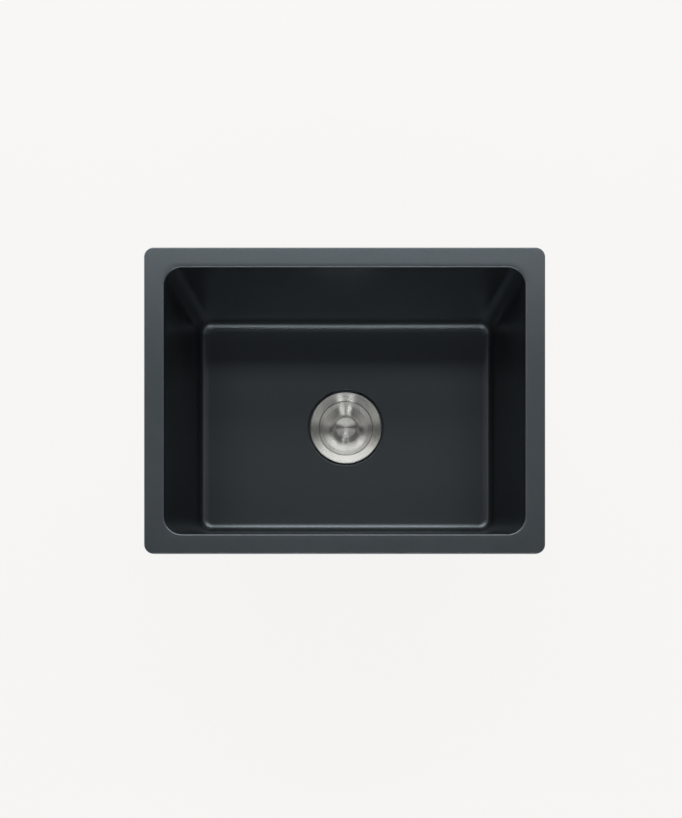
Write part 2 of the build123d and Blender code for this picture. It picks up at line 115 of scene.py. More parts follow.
# Points of a quarter of the bowl's outline. The last one of a straight part lies near its end and keeps
# it flat, and the steps before it are a little longer for that.
CORNER_STEPS = 14
SIDE_STEPS = 16
BACK_STEPS = 24
STEP_GAP = 1.2
SIDE_END = 0.994
BACK_END = 0.996

# Rings of the bowl's skin, for its roundings and for the parts between them
FILLET_STEPS = 12
EDGE_STEPS = 6
RIM_STEPS = 5
LOW_STEPS = 4
FLOOR_RINGS = 10
WALL_RINGS = 10
RIM_RINGS = 5
UNDER_RINGS = 3
BASE_RINGS = 7
SKIN_HOLD = 0.4 * MM

# Directions in which a clip boss is measured, and the tests of a ray against one of its sides
BOSS_STEPS = 64
PARALLEL = 1e-12
END_SLACK = 1e-6

# A clip arm: steps of its heel and tip, the heel's first angle in degrees, and points across the strip
HEEL_STEPS = 10
TIP_STEPS = 6
HEEL_START = 2
STRIP_POINTS = 8

# Steps up the side of a pierced tile, and round the basket's corner, its ball and the knob's dome
TILE_STEPS = 4
CORNER_ARC = 8
BALL_ARC = 18
DOME_STEPS = 10

# Steps of the backdrop's curve, and the width of the camera's sensor in millimetres
COVE_STEPS = 16
SENSOR_WIDTH = 36


def size(label, description, default):
    """A length that a user can change."""
    return FloatProperty(
        name=label, description=description, default=default, min=0, precision=5, unit="LENGTH"
    )


def turn(label, description, degrees):
    """An angle that a user can change."""
    return FloatProperty(
        name=label, description=description, default=radians(degrees), subtype="ANGLE", unit="ROTATION"
    )


def share(label, description, default):
    """A plain number between nought and one."""
    return FloatProperty(name=label, description=description, default=default, min=0, max=1)


def level(label, description, default):
    """A plain number of any size."""
    return FloatProperty(name=label, description=description, default=default)


def coordinate(label, description, default):
    """A place along an axis, which may be below nought."""
    return FloatProperty(name=label, description=description, default=default, unit="LENGTH")


def number(label, description, default, least):
    """A count that a user can change."""
    return IntProperty(name=label, description=description, default=default, min=least)


def colour(label, description, default):
    """A linear colour."""
    return FloatVectorProperty(
        name=label, description=description, default=default, size=3, min=0, max=1, subtype="COLOR"
    )


class SinkBowlSizes(PropertyGroup):
    length: size("Length", "Rim along X", BOWL_HIGH.x - BOWL_LOW.x)
    width: size("Width", "Rim along Y", BOWL_HIGH.y - BOWL_LOW.y)
    rim_top: size("Rim top", "Height of the top of the rim", BOWL_HIGH.z)
    rim_width: size("Rim width", "From the outer edge to the opening", 27 * MM)
    rim_thickness: size("Rim thickness", "Height of the outer edge", 10 * MM)
    rim_corner: size("Rim corner", "Plan radius of the rim's corners", 13 * MM)
    rim_round: size("Rim round", "Rounding of the rim's top edge", 1.5 * MM)
    rim_lower_round: size("Rim lower round", "Rounding of the rim's lower edge", 1 * MM)
    root_fillet: size("Root fillet", "Between the rim's underside and the wall", 3 * MM)
    opening_corner: size("Opening corner", "Plan radius of the opening's corners", 25 * MM)
    opening_round: size("Opening round", "Rounding of the opening's edge", 2.5 * MM)
    depth: size("Depth", "From the rim's top to the floor at the drain", 200 * MM)
    draft: turn("Draft", "Lean of the walls", 5)
    wall: size("Wall", "Wall thickness", 8 * MM)
    floor: size("Floor", "Floor thickness", 9 * MM)
    floor_corner: size("Floor corner", "Plan radius of the floor's corners", 20 * MM)
    floor_fillet: size("Floor fillet", "Between floor and walls", 15 * MM)
    floor_fall: turn("Floor fall", "Fall of the floor to the drain", 0.8)
    hole_radius: size("Hole radius", "Hole for the strainer", 45 * MM)
    recess_radius: size("Recess radius", "Stepped seat of the flange", 60.2 * MM)
    recess_depth: size("Recess depth", "Depth of the seat below the floor", 7.2 * MM)
    recess_round: size("Recess round", "Rounding of the seat's edge", 1.2 * MM)
    drain_boss_radius: size("Drain boss radius", "Thick ring under the floor", 72 * MM)
    drain_boss_round: size("Drain boss round", "Rounding of the ring's lower edge", 2 * MM)
    clip_spacing: size("Clip spacing", "Between the clips on a long side", 300 * MM)
    clip_inset: size("Clip inset", "From the rim's edge to a clip's axis", 16.5 * MM)
    clip_boss_width: size("Clip boss width", "Cast boss along the wall", 20 * MM)
    clip_boss_cover: size("Clip boss cover", "Boss outside the clip's axis", 5.5 * MM)
    clip_boss_root: size("Clip boss root", "Boss inside the clip's axis", 10.5 * MM)
    clip_boss_depth: size("Clip boss depth", "Height of a boss", 24 * MM)
    clip_boss_round: size("Clip boss round", "Rounding of its corners", 4 * MM)
    bush_hole: size("Bush hole", "Radius of the pocket for a threaded bush", 3.62 * MM)
    bush_length: size("Bush length", "Depth of that pocket", 12 * MM)
    screw_hole: size("Screw hole", "Radius of the clear hole above it", 2.9 * MM)
    screw_hole_depth: size("Screw hole depth", "Depth of the clear hole", 22 * MM)


class SinkFinishes(PropertyGroup):
    stone_dark: colour("Stone, dark", "Darker grain of the composite", (0.0046, 0.0056, 0.0066))
    stone_light: colour("Stone, light", "Paler grain of the composite", (0.0074, 0.0088, 0.0102))
    # The two rim colours are painted light: the rim's top is painted paler than the rest of the stone
    rim_painted_light_dark: colour("Rim, dark", "Darker grain on the rim's top", (0.023, 0.027, 0.031))
    rim_painted_light_pale: colour("Rim, light", "Paler grain on the rim's top", (0.033, 0.038, 0.043))
    stone_fleck: colour("Stone, fleck", "Small pale flecks", (0.055, 0.063, 0.068))
    steel: colour("Steel", "Stainless steel", (0.74, 0.735, 0.70))
    zinc: colour("Zinc", "Zinc plated steel", (0.55, 0.56, 0.58))
    brass: colour("Brass", "Threaded bushes", (0.72, 0.56, 0.28))
    rubber: colour("Rubber", "Seals", (0.022, 0.022, 0.023))
    plastic: colour("Plastic", "Nuts and tail pipe", (0.030, 0.031, 0.033))
    slip: colour("Slip ring", "White ring above the nut", (0.72, 0.71, 0.67))


class SinkStage(PropertyGroup):
    camera_x: coordinate("Camera X", "Camera place along X", 0.0115)
    camera_y: coordinate("Camera Y", "Camera place along Y", -0.261)
    camera_height: size("Camera height", "Above the rim", 1.207)
    lens: FloatProperty(name="Lens", description="Focal length", default=38.77, unit="CAMERA")
    shift_x: level("Shift X", "Sideways shift of the frame", -0.0147)
    shift_y: level("Shift Y", "Upwards shift of the frame", 0.2225)
    floor: colour("Floor", "Floor and backdrop", (0.82, 0.82, 0.81))
    ground: colour("Ground", "Backdrop as the camera sees it", (0.945, 0.935, 0.920))
    veil: share("Veil", "Share of that colour, the rest is lit", 0.93)
    cove_reach: size("Cove reach", "From the sink to the backdrop's wall", 6.0)
    cove_round: size("Cove round", "Curve between floor and wall", 1.5)
    cove_height: size("Cove height", "Height of the wall", 6.0)
    sky: share("Sky", "Strength of the even light", 0.015)
    panel_width: size("Panel width", "Width of each lamp", 2.2)
    panel_reach: size("Panel reach", "From the sink to each lamp", 1.75)
    panel_aim: size("Panel aim", "Point that the lamps face, below the rim", 0.1)
    window_tilt: turn("Window tilt", "Tilt of the main lamp to the back", 53)
    window_height: size("Window height", "Height of the main lamp and the front lamp", 0.72)
    window_level: level("Window level", "Level of the main lamp", 6.0)
    ceiling_tilt: turn("Ceiling tilt", "Tilt of the ceiling lamp to the back", 30)
    ceiling_height: size("Ceiling height", "Height of the ceiling lamps", 0.28)
    ceiling_level: level("Ceiling level", "Level of the ceiling lamp", 2.1)
    overhead_tilt: turn("Overhead tilt", "Tilt of the overhead lamp to the back", 4)
    overhead_level: level("Overhead level", "Level of the overhead lamp", 0.85)
    front_tilt: turn("Front tilt", "Tilt of the front lamp", 60)
    front_level: level("Front level", "Level of the front lamp", 2.9)
    strip_tilt: turn("Strip tilt", "Tilt of the two narrow lamps to the front", 40)
    strip_turn: turn("Strip turn", "Turn of each narrow lamp from the middle", 14)
    strip_width: size("Strip width", "Width of a narrow lamp", 0.04)
    strip_height: size("Strip height", "Height of a narrow lamp", 0.9)
    strip_level: level("Strip level", "Level of the narrow lamps", 22.0)


class SinkWasteSizes(PropertyGroup):
    flange_radius: size("Flange radius", "Outer edge of the strainer's flange", 57 * MM)
    flange_height: size("Flange height", "From its top to the seat", 4.2 * MM)
    flange_gap: size("Flange gap", "Clearance under its edge", 0.3 * MM)
    flange_lip: size("Flange lip", "Flat edge of the flange", 1.6 * MM)
    flange_fall: size("Flange fall", "Fall from the lip to the throat", 2.4 * MM)
    sheet: size("Sheet", "Thickness of the strainer's steel", 1.1 * MM)
    throat_radius: size("Throat radius", "Opening of the strainer", 43.4 * MM)
    throat_depth: size("Throat depth", "From the flange to the seat", 7 * MM)
    seat_radius: size("Seat radius", "Below the plug's seat", 41.5 * MM)
    seat_height: size("Seat height", "Cone that the plug closes on", 2 * MM)
    ledge_depth: size("Ledge depth", "From the flange to the basket's ledge", 15 * MM)
    cup_radius: size("Cup radius", "Inside of the cup", 39.7 * MM)
    cup_depth: size("Cup depth", "From the flange to the cup's floor", 49 * MM)
    outlet_radius: size("Outlet radius", "Bore of the spigot", 19.5 * MM)
    outlet_fall: size("Outlet fall", "Fall of the cup's floor", 1.5 * MM)
    spigot_radius: size("Spigot radius", "Thread under the cup", 23.9 * MM)
    spigot_thread: size("Spigot thread", "Length of its thread", 13.4 * MM)
    thread_depth: size("Thread depth", "Height of the thread ridges", 0.9 * MM)
    thread_pitch: size("Thread pitch", "Between two ridges", 2 * MM)
    thread_length: size("Thread length", "Thread on the cup", 24 * MM)
    plug_sheet: size("Plug sheet", "Thickness of the plug's steel", 1 * MM)
    plug_bore: size("Plug bore", "Hole for the plug's screw", 2.55 * MM)
    plug_dish: size("Plug dish", "Radius of the plug's flat middle", 23.5 * MM)
    plug_lip: size("Plug lip", "Width of the plug's lip", 7 * MM)
    plug_lip_fall: size("Plug lip fall", "Fall of the lip", 0.6 * MM)
    knob_top: size("Knob top", "Radius of the knob's top edge", 16.4 * MM)
    knob_foot: size("Knob foot", "Upright edge at the knob's base", 1.2 * MM)
    knob_dome: size("Knob dome", "Height of the knob's dome", 2 * MM)
    screw_depth: size("Screw depth", "Hole in the knob for the screw", 6 * MM)
    slot_width: size("Slot width", "Slot in the plug's screw", 1.2 * MM)
    slot_depth: size("Slot depth", "Depth of that slot", 1.3 * MM)
    seal_inner: size("Seal inner", "Inner radius of the plug's seal", 38.4 * MM)
    seal_cone: size("Seal cone", "Width of the seal's cone", 1.9 * MM)


class SinkNutSizes(PropertyGroup):
    seal_inner: size("Bowl seal inner", "Bore of the rings under the bowl", 43.2 * MM)
    flange_seal_inner: size("Flange seal inner", "Bore of the ring under the flange", 46.5 * MM)
    nut_bore: size("Ring nut bore", "Bore of the ring nut", 42 * MM)
    nut_radius: size("Ring nut radius", "Body of the ring nut", 49 * MM)
    nut_flange: size("Ring nut flange", "Height of its flange", 3 * MM)
    nut_lugs: number("Ring nut lugs", "Lugs to turn it by", 8, 2)
    nut_lug_width: size("Ring nut lug width", "Width of a lug", 9 * MM)
    edge: size("Moulded edge", "Rounding of the moulded nuts", 0.8 * MM)
    tail_wall: size("Tail wall", "Wall of the tail pipe", 1.8 * MM)
    tail_radius: size("Tail radius", "Outside of the tail pipe", 20 * MM)
    tail_flange: size("Tail flange", "Height of its flange", 2.5 * MM)
    tail_neck: size("Tail neck", "Depth of the neck below the flange", 0.3 * MM)
    tail_neck_length: size("Tail neck length", "Height of that neck", 3.5 * MM)
    tail_seal_inner: size("Tail seal inner", "Bore of the seal on the tail pipe", 19 * MM)
    tail_nut_radius: size("Tail nut radius", "Body of the tail nut", 28 * MM)
    tail_nut_bore: size("Tail nut bore", "Bore over the spigot", 24.2 * MM)
    tail_nut_hole: size("Tail nut hole", "Bore of its lower lip", 20.3 * MM)
    tail_nut_lip: size("Tail nut lip", "Height of its lower lip", 3 * MM)
    grips: number("Grips", "Ribs round the tail nut", 12, 2)
    grip_radius: size("Grip radius", "Radius of a rib", 2 * MM)


class SinkBasketSizes(PropertyGroup):
    sheet: size("Sheet", "Thickness of the basket's steel", 0.8 * MM)
    wall_radius: size("Wall radius", "Outside of its wall", 38.6 * MM)
    corner: size("Corner", "Rounding between wall and floor", 5 * MM)
    hole_radius: size("Hole radius", "Radius of each hole", 2 * MM)
    wall_holes: number("Wall holes", "Holes in a row round the wall", 24, 3)
    wall_rows: number("Wall rows", "Rows of holes in the wall", 2, 1)
    row_step: size("Row step", "Between two rows", 8 * MM)
    rings: number("Floor rings", "Rings of holes in the floor", 3, 1)
    ring_step: size("Ring step", "Between two rings", 8.5 * MM)
    ring_holes: number("Ring holes", "Holes in the first ring", 6, 3)
    rivet_radius: size("Rivet radius", "Shank of the rivet", 2 * MM)
    rivet_head_radius: size("Rivet head radius", "Radius of its head", 4 * MM)
    foot_radius: size("Foot radius", "Foot of the post", 6 * MM)
    foot: size("Foot", "Height of the foot", 1.5 * MM)
    post_radius: size("Post radius", "Radius of the post", 3 * MM)
    ball_radius: size("Ball radius", "Ball to lift the basket by", 5 * MM)


class SinkClipSizes(PropertyGroup):
    bush_groove: size("Bush groove", "Depth of the grooves", 0.4 * MM)
    bush_groove_width: size("Bush groove width", "Height of a groove", 1.2 * MM)
    bush_bore: size("Bush bore", "Bore of a threaded bush", 2.58 * MM)
    screw_radius: size("Screw radius", "Thread of a clip screw", 2.5 * MM)
    thread_depth: size("Screw thread", "Depth of its thread", 0.35 * MM)
    thread_pitch: size("Screw pitch", "Between two ridges", 1.6 * MM)
    head: size("Screw head", "Height of its head", 3.6 * MM)
    slot_width: size("Screw slot", "Width of its slot", 1.2 * MM)
    slot_depth: size("Slot depth", "Depth of its slot", 1.8 * MM)
    collar: size("Collar", "Height of the collar above the arm", 1.5 * MM)
    collar_radius: size("Collar radius", "Radius of that collar", 4 * MM)
    play: size("Play", "Gap above and below the arm", 0.15 * MM)
    sheet: size("Arm sheet", "Thickness of an arm", 2 * MM)
    arm_width: size("Arm width", "Width of an arm", 11 * MM)
    hole_radius: size("Arm hole", "Hole for the screw", 2.58 * MM)
    hub_length: size("Hub length", "Flat part at the screw", 9 * MM)
    ramp_length: size("Ramp length", "Rising part of an arm", 8 * MM)
    arm_rise: size("Arm rise", "Rise of an arm", 8 * MM)
    arm_reach: size("Arm reach", "From the screw to the tip", 34 * MM)
    bend: size("Bend", "Radius of the bends at mid sheet", 2 * MM)
    tip_round: size("Tip round", "Plan radius of the tip's corners", 2 * MM)
    tooth: size("Tooth", "Height of a tooth", 1 * MM)
    teeth: number("Teeth", "Teeth near the tip", 3, 1)
    tooth_step: size("Tooth step", "Between two teeth", 3 * MM)


def wall_offset(sizes, height, margin=0.0):
    """Offset from the opening's outline of a drafted wall at one height."""
    return margin - (sizes.rim_top - height) * tan(sizes.draft)


def arc(start, end, steps):
    """Angles from one to the other, both given in degrees and both kept."""
    return [radians(start + (end - start) * step / steps) for step in range(steps + 1)]


def rounded(corners, closed=True):
    """Rounds an outline of (x, y, radius) corners, with a point each side that keeps the flats flat."""
    points = [Vector(corner[:2]) for corner in corners]
    count = len(points)
    made = []
    for index, corner in enumerate(points):
        radius = corners[index][2]
        if radius < TINY or (not closed and index in (0, count - 1)):
            made.append(corner)
            continue
        before = points[index - 1] - corner
        after = points[(index + 1) % count] - corner
        reach = REACH_SHARE * min(before.length, after.length)
        before.normalize()
        after.normalize()
        half = before.angle(after) / 2
        cut = min(radius / tan(half), reach)
        radius = cut * tan(half)
        centre = corner + (before + after).normalized() * radius / sin(half)
        start = corner + before * cut - centre
        end = corner + after * cut - centre
        sweep = pi - 2 * half
        spin = 1 if start.x * end.y > start.y * end.x else -1
        parts = max(2, ceil(sweep / ROUND_STEP))
        brace = min(FLAT_HOLD, reach - cut)
        if brace > TINY:
            made.append(corner + before * (cut + brace))
        for part in range(parts + 1):
            angle = spin * sweep * part / parts
            made.append(centre + Vector((
                start.x * cos(angle) - start.y * sin(angle),
                start.x * sin(angle) + start.y * cos(angle),
            )))
        if brace > TINY:
            made.append(corner + after * (cut + brace))
    return made


def ring_faces(rings, closed=False):
    """Faces between neighbouring rings of vertex numbers. A point is a ring that repeats one number."""
    following = rings[1:] + rings[:1] if closed else rings[1:]
    faces = []
    for low, high in zip(rings, following):
        for step in range(len(low)):
            after = (step + 1) % len(low)
            corners = dict.fromkeys((low[step], low[after], high[after], high[step]))
            if len(corners) > 2:
                faces.append(tuple(corners))
    return faces


def numbered(rows, count):
    """Vertex numbers of rows of rings that have so many points each."""
    return [list(range(row * count, (row + 1) * count)) for row in range(rows)]


def turned(outline, segments, closed=True, centre=(0, 0)):
    """Vertices and faces of a (radius, height) outline turned about an upright axis."""
    verts = []
    rings = []
    for radius, height in outline:
        if radius < TINY:
            rings.append([len(verts)] * segments)
            verts.append((*centre, height))
            continue
        rings.append(list(range(len(verts), len(verts) + segments)))
        for step in range(segments):
            angle = 2 * pi * step / segments
            verts.append((centre[0] + radius * cos(angle), centre[1] + radius * sin(angle), height))
    return verts, ring_faces(rings, closed)


def prism(plan, low, high, edge):
    """An upright block over an outline, with its upper and lower edges bevelled."""
    middle = sum(plan, Vector((0, 0))) / len(plan)
    reach = max((point - middle).length for point in plan)
    near = BEVEL_SHARE * edge
    levels = (
        (edge, low), (near, low + near), (0, low + edge),
        (0, high - edge), (near, high - near), (edge, high),
    )
    verts = []
    for inset, height in levels:
        scale = 1 - inset / reach
        verts += [(*(middle + (point - middle) * scale), height) for point in plan]
    rings = numbered(len(levels), len(plan))
    return verts, [tuple(rings[0]), tuple(rings[-1])] + ring_faces(rings)


def block(low, high):
    """Vertices and faces of a box between two corners."""
    verts = [(x, y, z) for z in (low[2], high[2]) for y in (low[1], high[1]) for x in (low[0], high[0])]
    faces = [(0, 2, 3, 1), (4, 5, 7, 6), (0, 1, 5, 4), (2, 6, 7, 3), (0, 4, 6, 2), (1, 3, 7, 5)]
    return verts, faces


def joined(*parts):
    """Several (vertices, faces) pairs as one."""
    verts = []
    faces = []
    for more_verts, more_faces in parts:
        start = len(verts)
        verts.extend(more_verts)
        faces.extend(tuple(start + corner for corner in face) for face in more_faces)
    return verts, faces


def tidy_mesh(mesh, sharp=SHARP):
    """Merges doubles, turns the faces outwards and smooths all but the sharp edges."""
    work = bmesh.new()
    work.from_mesh(mesh)
    bmesh.ops.remove_doubles(work, verts=work.verts, dist=WELD)
    bmesh.ops.recalc_face_normals(work, faces=work.faces)
    work.to_mesh(mesh)
    work.free()
    mesh.shade_smooth()
    mesh.set_sharp_from_angle(angle=sharp)


def new_piece(name, shape, material, sharp=SHARP):
    """A mesh object from vertices and faces."""
    verts, faces = shape
    mesh = bpy.data.meshes.new(name)
    mesh.from_pydata([tuple(vert) for vert in verts], [], faces)
    mesh.materials.append(material)
    tidy_mesh(mesh, sharp)
    piece = bpy.data.objects.new(name, mesh)
    bpy.context.scene.collection.objects.link(piece)
    return piece


def turned_piece(name, corners, segments, material, closed=True):
    """A mesh object turned from an outline of (radius, height, rounding) corners."""
    return new_piece(name, turned(rounded(corners, closed), segments, closed), finish(material))


def discard(piece):
    """Removes a helper piece and its mesh."""
    mesh = piece.data
    bpy.data.objects.remove(piece)
    bpy.data.meshes.remove(mesh)


def merged(piece, *others):
    """Adds other pieces' meshes to a piece and removes those pieces."""
    work = bmesh.new()
    work.from_mesh(piece.data)
    for other in others:
        work.from_mesh(other.data)
    work.to_mesh(piece.data)
    work.free()
    for other in others:
        discard(other)


def placed_copy(source, name, place, heading):
    """A copy of a piece turned about Z and moved, with both in its mesh."""
    mesh = source.data.copy()
    mesh.transform(Matrix.Translation((*place, 0)) @ Matrix.Rotation(heading, 4, "Z"))
    mesh.name = name
    piece = bpy.data.objects.new(name, mesh)
    bpy.context.scene.collection.objects.link(piece)
    return piece


def apply_modifiers(piece):
    """Makes what the modifiers show the piece's own mesh, and removes them."""
    graph = bpy.context.evaluated_depsgraph_get()
    mesh = bpy.data.meshes.new_from_object(piece.evaluated_get(graph))
    piece.modifiers.clear()
    old = piece.data
    piece.data = mesh
    bpy.data.meshes.remove(old)
    mesh.name = piece.name


def combine(piece, helper, operation):
    """Adds a closed helper piece to a piece or takes it out of it, and removes the helper."""
    modifier = piece.modifiers.new("Combine", "BOOLEAN")
    modifier.operation = operation
    modifier.solver = "EXACT"
    modifier.object = helper
    apply_modifiers(piece)
    discard(helper)


def cut_with(piece, shape):
    """Takes a closed shape out of a piece."""
    combine(piece, new_piece("cutter", shape, piece.data.materials[0]), "DIFFERENCE")
    tidy_mesh(piece.data)


def settle(piece, body, slot, *nodes):
    """Parents a finished piece to its body's empty and hides the CAD nodes that it replaces."""
    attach(piece, body)
    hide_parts(*nodes)


class Graph:
    """Short ways to add and join nodes in a tree."""

    def __init__(self, tree):
        self.tree = tree

    def add(self, kind, inputs=None, **settings):
        """A new node with its settings, and with values or links for its inputs."""
        node = self.tree.nodes.new(kind)
        for key, value in settings.items():
            setattr(node, key, value)
        for key, value in (inputs or {}).items():
            self.feed(node.inputs[key], value)
        return node

    def feed(self, socket, value):
        """Links a socket to another, or gives it a value."""
        if isinstance(value, bpy.types.NodeSocket):
            self.tree.links.new(value, socket)
        else:
            socket.default_value = value

    def math(self, operation, first, second=0.0, clamp=False):
        """The result of a sum on one or two values."""
        node = self.add("ShaderNodeMath", {0: first, 1: second}, operation=operation, use_clamp=clamp)
        return node.outputs[0]

    def vector(self, **parts):
        """A vector from its parts, named X, Y and Z."""
        return self.add("ShaderNodeCombineXYZ", parts).outputs[0]

    def finish_shape(self, geometry, material):
        """Ends a Geometry Nodes tree with real faces of one material."""
        real = self.add("GeometryNodeRealizeInstances", {"Geometry": geometry})
        dressed = self.add("GeometryNodeSetMaterial", {"Geometry": real.outputs[0], "Material": material})
        self.add("NodeGroupOutput", {"Geometry": dressed.outputs[0]})


def new_tree(name, inputs):
    """A Geometry Nodes tree with named inputs, and its graph."""
    tree = bpy.data.node_groups.new(name, "GeometryNodeTree")
    tree.interface.new_socket("Geometry", in_out="INPUT", socket_type="NodeSocketGeometry")
    for label, kind in inputs:
        tree.interface.new_socket(label, in_out="INPUT", socket_type="NodeSocket" + kind)
    tree.interface.new_socket("Geometry", in_out="OUTPUT", socket_type="NodeSocketGeometry")
    return tree, Graph(tree)


def run_tree(piece, tree, values):
    """Runs a tree on a piece with the given inputs and keeps the result as a plain mesh."""
    modifier = piece.modifiers.new(tree.name, "NODES")
    modifier.node_group = tree
    material = piece.data.materials[0]
    values = dict(values, Material=material)
    for item in tree.interface.items_tree:
        if item.in_out == "INPUT" and item.name in values:
            modifier[item.identifier] = values[item.name]
    apply_modifiers(piece)
    mesh = piece.data
    mesh.materials.clear()
    mesh.materials.append(material)
    mesh.polygons.foreach_set("material_index", [0] * len(mesh.polygons))
    tidy_mesh(mesh)


def ring_pattern():
    """Copies the input round the Z axis, in rows that rise and turn."""
    if "Ring pattern" in bpy.data.node_groups:
        return bpy.data.node_groups["Ring pattern"]
    tree, graph = new_tree("Ring pattern", (
        ("Count", "Int"), ("Rows", "Int"), ("Row rise", "Float"), ("Row turn", "Float"),
        ("Material", "Material"),
    ))
    given = graph.add("NodeGroupInput").outputs
    total = graph.math("MULTIPLY", given["Count"], given["Rows"])
    points = graph.add("GeometryNodePoints", {"Count": total})
    index = graph.add("GeometryNodeInputIndex").outputs[0]
    row = graph.math("FLOOR", graph.math("DIVIDE", graph.math("ADD", index, 0.5), given["Count"]))
    step = graph.math("DIVIDE", 2 * pi, given["Count"])
    place = graph.math("SUBTRACT", index, graph.math("MULTIPLY", row, given["Count"]))
    row_turn = graph.math("MULTIPLY", row, given["Row turn"])
    angle = graph.math("ADD", graph.math("MULTIPLY", place, step), row_turn)
    rise = graph.vector(Z=graph.math("MULTIPLY", row, given["Row rise"]))
    placed = graph.add("GeometryNodeSetPosition", {"Geometry": points.outputs[0], "Position": rise})
    copies = graph.add("GeometryNodeInstanceOnPoints", {
        "Points": placed.outputs[0], "Instance": given["Geometry"], "Rotation": graph.vector(Z=angle),
    })
    graph.finish_shape(copies.outputs[0], given["Material"])
    return tree


def row_pattern():
    """Copies the input along X in equal steps."""
    if "Row pattern" in bpy.data.node_groups:
        return bpy.data.node_groups["Row pattern"]
    tree, graph = new_tree("Row pattern", (("Count", "Int"), ("Step", "Float"), ("Material", "Material")))
    given = graph.add("NodeGroupInput").outputs
    offset = graph.vector(X=given["Step"])
    line = graph.add("GeometryNodeMeshLine", {"Count": given["Count"], "Offset": offset})
    copies = graph.add("GeometryNodeInstanceOnPoints", {
        "Points": line.outputs[0], "Instance": given["Geometry"],
    })
    graph.finish_shape(copies.outputs[0], given["Material"])
    return tree


def thread_pattern():
    """Winds a ridge round the input, from Bottom up, that fades at both ends."""
    if "Thread" in bpy.data.node_groups:
        return bpy.data.node_groups["Thread"]
    tree, graph = new_tree("Thread", (
        ("Radius", "Float"), ("Depth", "Float"), ("Pitch", "Float"), ("Length", "Float"),
        ("Bottom", "Float"), ("Points per turn", "Int"), ("Material", "Material"),
    ))
    given = graph.add("NodeGroupInput").outputs
    turns = graph.math("DIVIDE", given["Length"], given["Pitch"])
    spiral = graph.add("GeometryNodeCurveSpiral", {
        "Resolution": given["Points per turn"], "Rotations": turns, "Start Radius": given["Radius"],
        "End Radius": given["Radius"], "Height": given["Length"],
    })
    up = graph.vector(Z=given["Bottom"])
    lifted = graph.add("GeometryNodeSetPosition", {"Geometry": spiral.outputs[0], "Offset": up})
    along = graph.add("GeometryNodeSplineParameter").outputs["Factor"]
    from_end = graph.math("MINIMUM", along, graph.math("SUBTRACT", 1.0, along))
    fade = graph.math("MULTIPLY", graph.math("MULTIPLY", from_end, turns), THREAD_FADE, clamp=True)
    thin = graph.math("MAXIMUM", fade, THREAD_END_SHARE)
    steady = graph.add("GeometryNodeSetCurveNormal", {"Curve": lifted.outputs[0]}, mode="Z_UP")
    across = graph.math("MULTIPLY", given["Depth"], 2.0)
    half_tall = graph.math("MULTIPLY", given["Pitch"], THREAD_HALF_SHARE)
    ridge = graph.add("GeometryNodeCurvePrimitiveQuadrilateral", mode="KITE")
    graph.feed(ridge.inputs["Width"], across)
    graph.feed(ridge.inputs["Bottom Height"], half_tall)
    graph.feed(ridge.inputs["Top Height"], half_tall)
    wound = graph.add("GeometryNodeCurveToMesh", {
        "Curve": steady.outputs[0], "Profile Curve": ridge.outputs[0], "Scale": thin, "Fill Caps": True,
    })
    both = graph.add("GeometryNodeJoinGeometry")
    tree.links.new(given["Geometry"], both.inputs[0])
    tree.links.new(wound.outputs[0], both.inputs[0])
    graph.finish_shape(both.outputs[0], given["Material"])
    return tree


def new_material(name, base, metallic, roughness):
    """A material with its graph and its principled shader."""
    material = bpy.data.materials.new(name)
    material.use_nodes = True
    shader = material.node_tree.nodes["Principled BSDF"]
    shader.inputs["Base Color"].default_value = (*base, 1)
    shader.inputs["Metallic"].default_value = metallic
    shader.inputs["Roughness"].default_value = roughness
    return material, Graph(material.node_tree), shader


def noise(graph, coords, waves, detail=2.0, rough=0.5):
    """Noise from 0 to 1 at so many waves a metre."""
    node = graph.add("ShaderNodeTexNoise", {
        "Vector": coords, "Scale": waves, "Detail": detail, "Roughness": rough,
    })
    return node.outputs[0]


def spread(graph, value, span, to=(0.0, 1.0)):
    """Maps one span of a value to another."""
    node = graph.add("ShaderNodeMapRange", {
        0: value, "From Min": span[0], "From Max": span[1], "To Min": to[0], "To Max": to[1],
    })
    return node.outputs[0]


def mixed(graph, factor, first, second):
    """A colour between two, by a factor."""
    node = graph.add("ShaderNodeMix", data_type="RGBA")
    graph.feed(node.inputs["Factor"], factor)
    colours = [socket for socket in node.inputs if socket.type == "RGBA"]
    for socket, value in zip(colours, (first, second)):
        graph.feed(socket, value if isinstance(value, bpy.types.NodeSocket) else (*value, 1))
    return [socket for socket in node.outputs if socket.type == "RGBA"][0]


def shaded(base, by):
    """A colour made darker or lighter by a factor."""
    return [min(1, by * part) for part in base]


def relief(graph, shader, height, distance, strength):
    """Fine relief from a height."""
    bump = graph.add("ShaderNodeBump", {"Height": height, "Distance": distance, "Strength": strength})
    graph.feed(shader.inputs["Normal"], bump.outputs[0])


def object_coords(graph):
    """Places in the piece's own space."""
    return graph.add("ShaderNodeTexCoord").outputs["Object"]


